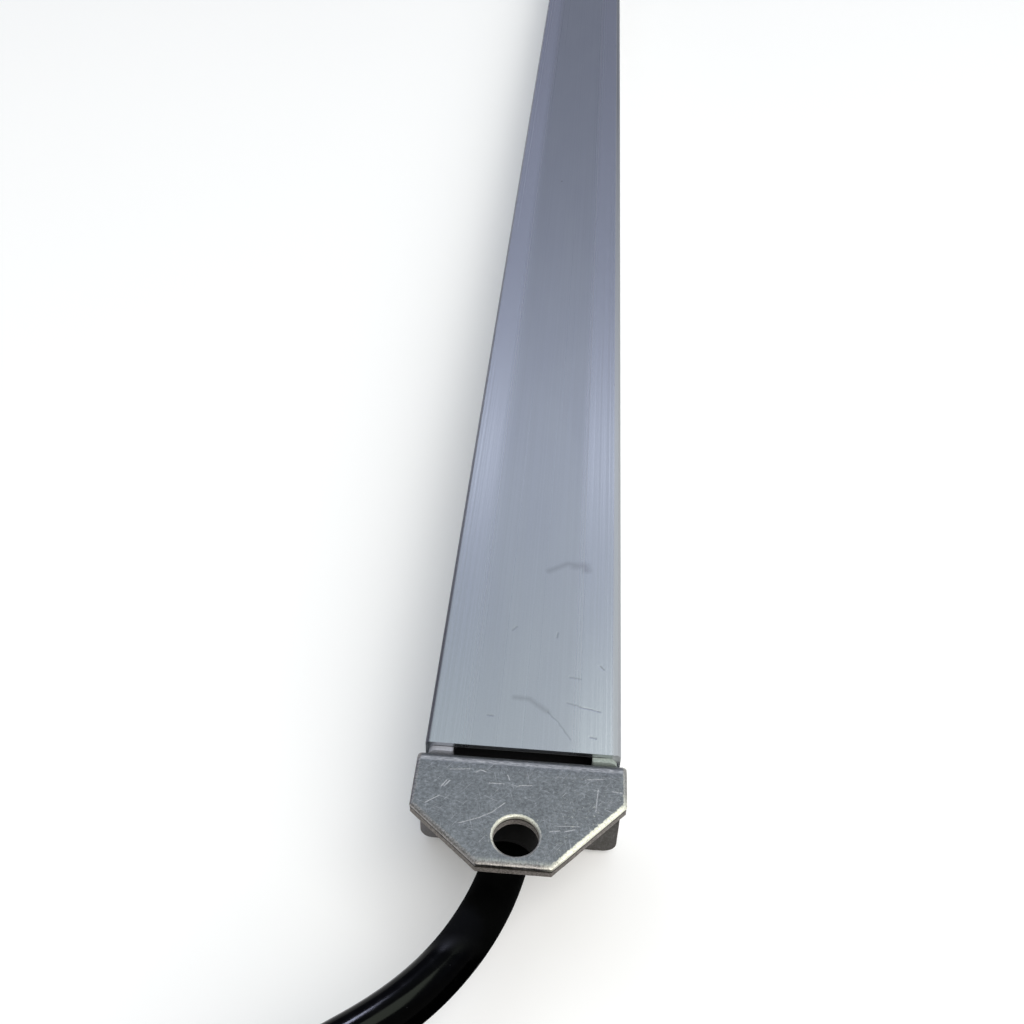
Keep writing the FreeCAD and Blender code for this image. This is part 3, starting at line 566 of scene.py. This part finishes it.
FINISHES = {
    "bar_aluminium": anodised_bar(),
    "bracket_sheet": bracket_steel(),
    "cable_jacket": glossy_jacket(),
    "opal_lens": opal_plastic(),
    "clear_seal": mottled("clear_silicone", grey(0.45), grey(0.6), Transmission_Weight=0.4),
    "thermal_tape": mottled("thermal_tape", grey(0.25), grey(0.4), size=1.5),
    "board_mask": mottled("white_solder_mask", grey(0.72), grey(0.84), rough=(0.3, 0.45)),
    "led_body": mottled("led_package", grey(0.68, 0.03), grey(0.82, 0.02), size=0.8),
    "led_phosphor": mottled("phosphor", (0.75, 0.55, 0.06), (0.9, 0.72, 0.12), size=0.5),
    "chip_ceramic": mottled("chip_ceramic", grey(0.02), grey(0.05), size=0.6),
    "solder": mottled("solder", grey(0.45), grey(0.65), size=0.4, rough=(0.2, 0.4), Metallic=1.0),
    "wire_red": mottled("red_wire", (0.35, 0.01, 0.01), (0.5, 0.02, 0.02), rough=(0.3, 0.45)),
    "wire_black": mottled("black_wire", grey(0.01), grey(0.03), rough=(0.3, 0.45)),
    "nylon": mottled("white_nylon", grey(0.6, 0.02), grey(0.75, 0.01), rough=(0.35, 0.5)),
    "nylon_black": mottled("black_nylon", grey(0.012), grey(0.03), rough=(0.35, 0.5)),
    "black_rubber": mottled("black_rubber", grey(0.004), grey(0.009), rough=(0.7, 0.85),
                            Specular_IOR_Level=0.15),
    "gasket_rubber": gasket_foam(),
    "fastener_steel": mottled("zinc_steel", grey(0.42), grey(0.6), size=1.0, rough=(0.25, 0.4),
                              Metallic=1.0),
    "connector_rubber": mottled("connector_rubber", grey(0.012), grey(0.03), rough=(0.45, 0.6)),
    "connector_plastic": mottled("connector_plastic", grey(0.012), grey(0.025), rough=(0.3, 0.45)),
    "connector_insert": mottled("connector_insert", grey(0.02), grey(0.04), rough=(0.3, 0.5)),
    "pin_brass": mottled("pin_brass", (0.5, 0.35, 0.12), (0.75, 0.55, 0.2), size=0.5,
                         rough=(0.15, 0.3), Metallic=1.0),
    "seal_red": mottled("red_seal", (0.3, 0.02, 0.02), (0.45, 0.04, 0.03), rough=(0.4, 0.55)),
}

SLOT_OF = {
    "housing_extrusion": "bar_aluminium", "lens_cover": "opal_lens",
    "lens_seal_left": "clear_seal", "lens_seal_right": "clear_seal",
    "board_tape": "thermal_tape", "led_board": "board_mask", "leds": "led_body",
    "led_phosphor": "led_phosphor", "resistors": "chip_ceramic",
    "polarity_diode": "chip_ceramic", "solder_joints": "solder", "wire_red": "wire_red",
    "wire_black": "wire_black", "cable_inlet": "cable_jacket", "inner_cable_tie": "nylon",
    "cable_grommet": "black_rubber", "gasket_cable_end": "gasket_rubber",
    "gasket_blind_end": "gasket_rubber", "bracket_cable_end": "bracket_sheet",
    "bracket_blind_end": "bracket_sheet", "washers_cable_end": "fastener_steel",
    "washers_blind_end": "fastener_steel", "end_screws_cable_end": "fastener_steel",
    "end_screws_blind_end": "fastener_steel", "coil_ties": "nylon_black",
    "connector_boot": "connector_rubber", "connector_body": "connector_plastic",
    "connector_nut": "connector_plastic", "connector_insert": "connector_insert",
    "connector_pins": "pin_brass", "connector_seal": "seal_red",
}


# ---- pieces from CAD nodes ------------------------------------------------------------------
def standing_for(node, mesh):
    """Piece with that mesh, in the node's finish, which stands for the node."""
    mesh.materials.clear()
    mesh.materials.append(FINISHES[SLOT_OF[node]])
    piece = linked(node + "_piece", mesh)
    weighted = piece.modifiers.new("normals", "WEIGHTED_NORMAL")
    weighted.keep_sharp = True
    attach(piece, "root")
    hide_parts(node)
    return piece


def mesh_of(shape, name, sharp_angle=35.0):
    """Mesh from a bmesh, shaded smooth except at sharp edges."""
    mesh = bpy.data.meshes.new(name)
    shape.to_mesh(mesh)
    shape.free()
    if "custom_normal" in mesh.attributes:
        mesh.attributes.remove(mesh.attributes["custom_normal"])
    mesh.shade_smooth()
    mesh.set_sharp_from_angle(angle=math.radians(sharp_angle))
    return mesh


def softened(node, width, segments=2, angle=40.0):
    """Piece with the node's shape and small rounded edges."""
    shape = bmesh.new()
    shape.from_mesh(NODES[node].data)
    bmesh.ops.remove_doubles(shape, verts=shape.verts, dist=1e-6)
    bmesh.ops.dissolve_limit(shape, angle_limit=math.radians(1.0), verts=shape.verts,
                             edges=shape.edges)
    sharp = [e for e in shape.edges if e.calc_face_angle(0.0) > math.radians(angle)]
    bmesh.ops.bevel(shape, geom=sharp, offset=width * MM, segments=segments, profile=0.5,
                    affect="EDGES", clamp_overlap=True)
    return standing_for(node, mesh_of(shape, node + "_piece"))


# ---- brackets -------------------------------------------------------------------------------
# A bracket is drawn flat, from the front of its tab (u = 0) to the foot of its flange.
SHEET = 2.0
HALF_WIDTH = 15.35
TAB_END = 269.8
BEND_START = 253.3
BEND_OUTER = 2.5
FLANGE_FOOT = 0.8
TAB_LENGTH = TAB_END - BEND_START
ARC_LENGTH = BEND_OUTER * math.pi / 2
FLAT_LENGTH = TAB_LENGTH + ARC_LENGTH + TOP - BEND_OUTER - FLANGE_FOOT
FLANGE_CORNER = 2.0
TAB_CORNERS = [(-HALF_WIDTH, 8.8), (-5.2, 0.0), (5.2, 0.0), (HALF_WIDTH, 11.0)]
OUTLINE_STEP = 0.45
GRID_STEP = 0.9
GRID_MARGIN = 1.0
SMALLEST_TRIANGLE = 1e-4
# Rolled-over top edge of a sheared wall: its depth, its width, and the inset of each ring.
ROLL_DEPTH = 0.34
ROLL_WIDTH = 0.7
ROLL_RINGS = [ROLL_WIDTH, 0.5, 0.32, 0.18, 0.09, 0.03, 0.0]
HOLE_ROLL = 0.6  # A hole's edge rolls over less than the outline's.
# Depth of each ring of the wall below it, and how far it is torn back from the true outline.
WALL = [(0.5, 0.0), (0.62, 0.01), (0.74, 0.08), (1.0, 0.06), (1.3, 0.08), (1.65, 0.06),
        (1.92, 0.03), (SHEET, 0.09)]
UNEVEN_FROM = 0.02  # A ring torn back further than this is uneven as well.
UNDERSIDE_INSET = 0.2


def along(point_z):
    """Flat position of a height on the flange."""
    return TAB_LENGTH + ARC_LENGTH + TOP - BEND_OUTER - point_z


def spaced(points, step):
    """Closed outline with extra points, no further apart than a step."""
    result = []
    for a, b in zip(points, points[1:] + points[:1]):
        count = max(1, math.ceil(math.dist(a, b) / step))
        result += [(a[0] + (b[0] - a[0]) * i / count, a[1] + (b[1] - a[1]) * i / count)
                   for i in range(count)]
    return result


def arc(cx, cy, radius, first, last, count):
    return [(cx + radius * math.cos(math.radians(first + (last - first) * i / count)),
             cy + radius * math.sin(math.radians(first + (last - first) * i / count)))
            for i in range(count + 1)]


def flat_outline(inset=0.0):
    """Outline of the flat sheet, moved inwards by an inset. It is convex."""
    foot = FLAT_LENGTH - FLANGE_CORNER
    corner = HALF_WIDTH - FLANGE_CORNER
    points = list(TAB_CORNERS) + arc(corner, foot, FLANGE_CORNER, 0, 90, 8)
    points += arc(-corner, foot, FLANGE_CORNER, 90, 180, 8)
    points = spaced(points, OUTLINE_STEP)
    moved = []
    for before, here, after in zip(points[-1:] + points[:-1], points, points[1:] + points[:1]):
        first = (Vector(here) - Vector(before)).normalized()
        second = (Vector(after) - Vector(here)).normalized()
        inward = Vector((-(first.y + second.y), first.x + second.x))
        share = inset / max(0.5, inward.length / 2) / inward.length
        moved.append((here[0] + inward.x * share, here[1] + inward.y * share))
    return moved


def flat_hole(hole, grow=0.0):
    """Rim of a hole of the flat sheet, listed the other way round from the outline."""
    x, u, radius = hole
    count = max(24, round(radius * 18))
    return [(x + (radius + grow) * math.cos(2 * math.pi * i / count),
             u - (radius + grow) * math.sin(2 * math.pi * i / count)) for i in range(count)]


def on_sheet(x, u, depth):
    """Place in space of a point of the flat sheet at a depth below its outer face."""
    if u < TAB_LENGTH:
        return (x, u - TAB_END, TOP - depth)
    if u < TAB_LENGTH + ARC_LENGTH:
        angle = (u - TAB_LENGTH) / ARC_LENGTH * math.pi / 2
        radius = BEND_OUTER - depth
        return (x, radius * math.sin(angle) - BEND_START,
                TOP - BEND_OUTER + radius * math.cos(angle))
    return (x, BEND_OUTER - BEND_START - depth, along(u))


class BentSheet:
    """Mesh of a bent sheet, made from points of its flat pattern."""

    def __init__(self, holes, seed):
        self.holes = holes
        self.rng = random.Random(seed)
        self.shape = bmesh.new()
        self.rim = self.shape.verts.layers.float.new("rim")
        self.depth = self.shape.verts.layers.float.new("depth")

    def vertex(self, x, u, depth, rim):
        vert = self.shape.verts.new([c * MM for c in on_sheet(x, u, depth)])
        vert[self.rim] = rim
        vert[self.depth] = depth
        return vert

    def wobble(self, count):
        """Smooth random offsets round a closed loop."""
        raw = [self.rng.uniform(-1, 1) for _ in range(count)]
        return [(raw[i - 1] + 2 * raw[i] + raw[(i + 1) % count]) / 4 for i in range(count)]

    def wall_ring(self, loop, depth, torn):
        """Ring of the wall at a depth, torn back from the true outline."""
        points, true = loop(torn), loop(0.0)
        uneven = 0.5 if torn > UNEVEN_FROM else 0.0
        ring = []
        for (x, u), (true_x, true_u), shake in zip(points, true, self.wobble(len(points))):
            share = uneven * shake
            ring.append(self.vertex(x + (x - true_x) * share, u + (u - true_u) * share, depth, 1.0))
        return ring

    def sheared_wall(self, loop, scale):
        """Rolled, burnished and torn wall along a loop. Returns its first and its last ring."""
        rings = []
        for inset in ROLL_RINGS:
            share = 1 - inset / ROLL_WIDTH
            drop = scale * ROLL_DEPTH * (1 - math.sqrt(1 - share * share))
            rings.append([self.vertex(x, u, drop, share) for x, u in loop(inset * scale)])
        rings += [self.wall_ring(loop, depth, torn) for depth, torn in WALL]
        rings.append([self.vertex(x, u, SHEET, 0.0) for x, u in loop(UNDERSIDE_INSET)])
        for upper, lower in zip(rings, rings[1:]):
            for a, b, c, d in zip(upper, upper[1:] + upper[:1], lower[1:] + lower[:1], lower):
                self.shape.faces.new((a, d, c, b))
        return rings[0], rings[-1]

    def face_between(self, rims, depth, hole_inset):
        """Triangles over the flat sheet at a depth, between rims of (points, vertices)."""
        flat, verts, edges = [], [], []
        for points, ring in rims:
            start = len(flat)
            flat += [Vector(p) for p in points]
            verts += ring
            edges += [(start + i, start + (i + 1) % len(points)) for i in range(len(points))]
        outline = flat_outline()
        columns, rows = round(2 * HALF_WIDTH / GRID_STEP), round(FLAT_LENGTH / GRID_STEP)
        for i in range(1, columns):
            for j in range(1, rows):
                spot = Vector((-HALF_WIDTH + 2 * HALF_WIDTH * i / columns, FLAT_LENGTH * j / rows))
                if clear_of(spot, self.holes, GRID_MARGIN) and encloses(outline, spot, GRID_MARGIN):
                    flat.append(spot)
                    verts.append(self.vertex(spot.x, spot.y, depth, 0.0))
        _, _, faces, sources, _, _ = delaunay_2d_cdt(flat, edges, [], 0, 1e-5)
        for face in faces:
            corners = [sources[i][0] for i in face]
            middle = sum((flat[i] for i in corners), Vector((0, 0))) / 3
            sliver = area_tri(*(flat[i] for i in corners)) < SMALLEST_TRIANGLE
            if clear_of(middle, self.holes, hole_inset) and not sliver:
                self.shape.faces.new([verts[i] for i in corners])


def bracket_mesh(name, holes, turn, seed):
    """Bent sheet with rolled-over, burnished and torn edges all round it and in its holes."""
    sheet = BentSheet(holes, seed)
    loops = [(flat_outline, 1.0)] + [(partial(flat_hole, hole), HOLE_ROLL) for hole in holes]
    upper_rims, lower_rims = [], []
    for loop, scale in loops:
        upper, lower = sheet.sheared_wall(loop, scale)
        upper_rims.append((loop(ROLL_WIDTH * scale), upper))
        lower_rims.append((loop(UNDERSIDE_INSET), lower))
    sheet.face_between(upper_rims, 0.0, HOLE_ROLL * ROLL_WIDTH)
    sheet.face_between(lower_rims, SHEET, UNDERSIDE_INSET)
    bmesh.ops.recalc_face_normals(sheet.shape, faces=sheet.shape.faces)
    if turn:
        half_turn = Matrix.Rotation(math.pi, 3, "Z")
        bmesh.ops.rotate(sheet.shape, verts=sheet.shape.verts, matrix=half_turn)
    return mesh_of(sheet.shape, name, 50.0)


def clear_of(spot, holes, inset):
    """Whether a flat point is outside the holes when they are grown by an inset."""
    return all((spot - Vector(hole[:2])).length > 0.998 * (hole[2] + inset) for hole in holes)


def encloses(outline, spot, margin):
    """Whether a flat point is inside a convex outline by at least a margin."""
    return all((b[0] - a[0]) * (spot.y - a[1]) - (b[1] - a[1]) * (spot.x - a[0])
               > margin * math.dist(a, b) for a, b in zip(outline, outline[1:] + outline[:1]))


# Width of the softened edges of the nodes that keep their shape.
ROUNDED = {
    "washers_cable_end": 0.08, "washers_blind_end": 0.08,
    "end_screws_cable_end": 0.08, "end_screws_blind_end": 0.08,
    "gasket_cable_end": 0.06, "gasket_blind_end": 0.06, "cable_grommet": 0.2,
    "connector_boot": 0.3, "connector_body": 0.3, "connector_nut": 0.25,
    "connector_insert": 0.2, "connector_seal": 0.2,
}
pieces = {node: softened(node, width) for node, width in ROUNDED.items()}

# Holes of the flat sheet: x, u and radius.
MOUNT_HOLE = (0.0, TAB_END - HOLE_Y, 3.2)
PORT_HOLES = [(side * 12.0, along(13.0), 1.6) for side in (-1, 1)]
LEAD_HOLE = (0.0, along(10.0), 4.4)
# Each bracket's holes, whether it is turned round to the blind end, and its random seed.
BRACKETS = {
    "bracket_cable_end": ([MOUNT_HOLE, *PORT_HOLES, LEAD_HOLE], False, 7),
    "bracket_blind_end": ([MOUNT_HOLE, *PORT_HOLES], True, 11),
}
for node, (holes, turn, seed) in BRACKETS.items():
    pieces[node] = standing_for(node, bracket_mesh(node + "_piece", holes, turn, seed))

# ---- cable ties -----------------------------------------------------------------------------
STRAP_INNER, STRAP_OUTER, STRAP_HALF_WIDTH, STRAP_SOFT = 3.45, 3.95, 1.8, 0.12
STRAP_STEPS = 16  # Sections in each half turn round the cords.
# Middle of the cord that each tie goes round, and whether its head is towards +Y instead of +X.
TIES = [((-39.6, -385.0), False), ((-19.6, -455.0), True)]
# Ratchet head from its foot to the floor of its slot: height, inset of its sides, half width.
HEAD_NEAR, HEAD_FAR, HEAD_SOFT = 3.96, 7.15, 0.35
HEAD_SECTIONS = [(9.0, 0.45, 2.15), (9.3, 0.15, 2.45), (9.6, 0.0, 2.6), (12.9, 0.0, 2.6),
                 (13.3, 0.12, 2.48), (13.5, 0.4, 2.2), (13.5, 0.85, 1.6), (12.7, 0.9, 1.55)]
# Cut tail that stands out of the slot, with a tooth at every other section.
TAIL_NEAR, TAIL_GAP, TAIL_TOOTH = 5.2, 5.95, 6.12
TAIL_HALF_WIDTH, TAIL_SOFT = 1.6, 0.1
TAIL_START, TAIL_STEP, TAIL_SECTIONS = 12.4, 0.165, 13


def strap_section(angle, middle):
    """Section of a strap with softened edges, turned round a cord's axis: (out, width, z)."""
    inner, outer, half, soft = STRAP_INNER, STRAP_OUTER, STRAP_HALF_WIDTH, STRAP_SOFT
    outline = [(inner, -half + soft), (inner + soft, -half), (outer - soft, -half),
               (outer, -half + soft), (outer, half - soft), (outer - soft, half),
               (inner + soft, half), (inner, half - soft)]
    return [(r * math.cos(angle), w, middle + r * math.sin(angle)) for r, w in outline]


def box_section(near, far, half, z, soft):
    """Section of a box at a height, with its corners cut: (out, width, z)."""
    return [(near, -half + soft, z), (near + soft, -half, z), (far - soft, -half, z),
            (far, -half + soft, z), (far, half - soft, z), (far - soft, half, z),
            (near + soft, half, z), (near, half - soft, z)]


def loft(shape, sections, place, closed):
    """Skin through sections, either closed round or capped at its ends."""
    rows = [[shape.verts.new(place(*point)) for point in section] for section in sections]
    for one, two in zip(rows, rows[1:] + (rows[:1] if closed else [])):
        for a, b, c, d in zip(one, one[1:] + one[:1], two[1:] + two[:1], two):
            shape.faces.new((a, b, c, d))
    if not closed:
        shape.faces.new(rows[0][::-1])
        shape.faces.new(rows[-1])


def add_tie(shape, centre, turned):
    """Strap, ratchet head with its slot, and the cut tail with its teeth."""
    def place(out, width, z):
        x, y = (width, out) if turned else (out, width)
        return ((centre[0] + x) * MM, (centre[1] + y) * MM, z * MM)

    turns = [math.pi * i / STRAP_STEPS for i in range(STRAP_STEPS + 1)]
    strap = [strap_section(angle, LAYER_2) for angle in turns]
    strap += [strap_section(math.pi + angle, LAYER_1) for angle in turns]
    loft(shape, strap, place, True)
    head = [box_section(HEAD_NEAR + inset, HEAD_FAR - inset, half, z, HEAD_SOFT)
            for z, inset, half in HEAD_SECTIONS]
    loft(shape, head, place, False)
    tail = [box_section(TAIL_NEAR, TAIL_GAP if i % 2 else TAIL_TOOTH, TAIL_HALF_WIDTH,
                        TAIL_START + TAIL_STEP * i, TAIL_SOFT) for i in range(TAIL_SECTIONS)]
    loft(shape, tail, place, False)


def coil_ties_mesh():
    shape = bmesh.new()
    for centre, turned in TIES:
        add_tie(shape, centre, turned)
    bmesh.ops.recalc_face_normals(shape, faces=shape.faces)
    return mesh_of(shape, "coil_ties_piece")


pieces["coil_ties"] = standing_for("coil_ties", coil_ties_mesh())

# ---- nodes that keep their shape, and the lead ----------------------------------------------
for node, slot in SLOT_OF.items():
    if node not in pieces:
        data = NODES[node].data
        data.materials.clear()
        data.materials.append(FINISHES[slot])

lead.data.materials.append(FINISHES["cable_jacket"])
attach(lead, "root")
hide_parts("supply_cable", "cable_coil", "cable_tail")


# ---- floor and light ------------------------------------------------------------------------
# Brightness of the sky towards +Y, from the horizon to straight up, and behind the camera.
SKY = [(0.0, (0.15, 0.155, 0.20)), (0.26, (0.165, 0.175, 0.235)), (0.44, (0.25, 0.27, 0.36)),
       (0.52, (0.41, 0.44, 0.57)), (0.57, (0.48, 0.52, 0.69)), (0.62, (0.43, 0.47, 0.61)),
       (0.72, (0.42, 0.47, 0.55)), (0.80, (0.60, 0.67, 0.69)), (1.0, (0.48, 0.50, 0.50))]
SKY_BEHIND = [(0.0, (0.62, 0.62, 0.60)), (0.5, (0.42, 0.42, 0.40))]
# The sky as the camera sees it.
BACKGROUND = [(0.0, (0.93, 0.94, 0.95)), (0.6, (0.80, 0.82, 0.84))]
FLOOR_HALF_SIZE = 6
# Black card beside the lead: its outline in metres, and its height.
FLAG = [(0.004, -0.268), (0.9, -0.268), (0.9, -1.2), (-0.035, -1.2), (-0.035, -0.36),
        (-0.012, -0.29)]
FLAG_Z = 0.0003
LIGHTS_AIM = (0.0, -0.25, 0.0)


def add_floor():
    """White floor that melts into the background far away."""
    mesh = bpy.data.meshes.new("floor")
    far = FLOOR_HALF_SIZE
    mesh.from_pydata([(-far, -far, 0), (far, -far, 0), (far, far, 0), (-far, far, 0)], [],
                     [(0, 1, 2, 3)])
    floor = linked("floor", mesh)
    paint = Paint("pale_floor", Roughness=0.7, Specular_IOR_Level=0.0,
                  Emission_Color=(*BACKGROUND[0][1], 1.0))
    x, y, _ = paint.axes()
    cloud = paint.noise(400.0, 2)
    away = paint.math("SQRT", paint.plus(paint.times(x, x), paint.times(y, y)))
    glow = paint.times(paint.fit(away, 600.0, 2800.0, 0.07, 0.9),
                       paint.node("LightPath", out="Is Camera Ray"))
    colour = paint.mix(cloud, grey(0.90), grey(0.92))
    paint.set(Base_Color=paint.mix(paint.fit(away, 2000.0, 5500.0), colour, grey(0.0)),
              Emission_Strength=glow)
    mesh.materials.append(paint.done())


def add_sky():
    """Soft sky: bright towards +Y, dim overhead, and pale where it is seen as the background."""
    world = bpy.data.worlds.new("studio")
    bpy.context.scene.world = world
    world.use_nodes = True
    tree = world.node_tree
    split = tree.nodes.new("ShaderNodeSeparateXYZ")
    tree.links.new(tree.nodes.new("ShaderNodeTexCoord").outputs["Generated"], split.inputs[0])

    def ramp(stops):
        node = tree.nodes.new("ShaderNodeValToRGB")
        set_stops(node.color_ramp.elements, stops)
        tree.links.new(split.outputs[2], node.inputs[0])
        return node.outputs[0]

    def mix(factor, a, b):
        node = tree.nodes.new("ShaderNodeMix")
        node.data_type = "RGBA"
        tree.links.new(factor, node.inputs[0])
        tree.links.new(a, node.inputs[6])
        tree.links.new(b, node.inputs[7])
        return node.outputs[2]

    side = tree.nodes.new("ShaderNodeMapRange")
    side.inputs["From Min"].default_value = -0.25
    side.inputs["From Max"].default_value = 0.25
    tree.links.new(split.outputs[1], side.inputs["Value"])
    sky = mix(side.outputs[0], ramp(SKY_BEHIND), ramp(SKY))
    seen = tree.nodes.new("ShaderNodeLightPath").outputs["Is Camera Ray"]
    sky = mix(seen, sky, ramp(BACKGROUND))
    tree.links.new(sky, tree.nodes["Background"].inputs["Color"])


def add_flag():
    """Black card beside the lead that only reflections see, as photographers use."""
    mesh = bpy.data.meshes.new("flag")
    mesh.from_pydata([(x, y, FLAG_Z) for x, y in FLAG], [], [tuple(range(len(FLAG)))])
    flag = linked("flag", mesh)
    paint = Paint("black_card", Specular_IOR_Level=0.0)
    paint.set(Base_Color=paint.mix(paint.noise(40.0, 2), grey(0.004), grey(0.008)))
    mesh.materials.append(paint.done())
    flag.visible_camera = flag.visible_diffuse = flag.visible_shadow = False
    flag.visible_transmission = flag.visible_volume_scatter = False


def linking(name, state):
    """Collection that lets a light shine on the lead alone, or on everything else."""
    receivers = bpy.data.collections.new(name)
    receivers.objects.link(lead)
    receivers.collection_objects[0].light_linking.link_state = state
    return receivers


def add_softbox(receivers, name, place, size, power, colour):
    data = bpy.data.lights.new(name, "AREA")
    data.shape = "RECTANGLE"
    data.size, data.size_y = size
    data.energy = power
    data.color = colour
    light = linked(name, data)
    light.location = place
    ahead = Vector(LIGHTS_AIM) - Vector(place)
    light.rotation_euler = ahead.to_track_quat("-Z", "Y").to_euler()
    light.light_linking.receiver_collection = receivers


add_floor()
add_flag()
add_sky()
NOT_LEAD = linking("all_but_lead", "EXCLUDE")
LEAD_ONLY = linking("lead_only", "INCLUDE")
# Softboxes: what they shine on, name, place and size in metres, power and colour.
for softbox in (
        (NOT_LEAD, "window", (-0.57, 0.32, 1.26), (0.6, 0.6), 0.9, (0.80, 0.90, 1.0)),
        (NOT_LEAD, "fill", (0.45, 0.55, 1.30), (0.8, 0.8), 1.5, (0.97, 1.0, 0.97)),
        (NOT_LEAD, "key", (0.85, -1.25, 1.4), (2.2, 2.2), 42.0, (1.0, 0.975, 0.93)),
        (NOT_LEAD, "strip", (0.0, 1.2, 1.05), (2.4, 0.12), 0.8, (0.86, 0.90, 1.0)),
        (LEAD_ONLY, "window_on_lead", (-0.48, 0.64, 1.08), (0.32, 0.32), 40.0, (0.72, 0.76, 1.0)),
        (LEAD_ONLY, "fill_on_lead", (0.46, -0.07, 1.41), (0.8, 0.8), 17.0, (0.88, 1.0, 0.82))):
    add_softbox(*softbox)
bpy.context.scene.view_settings.view_transform = "Standard"
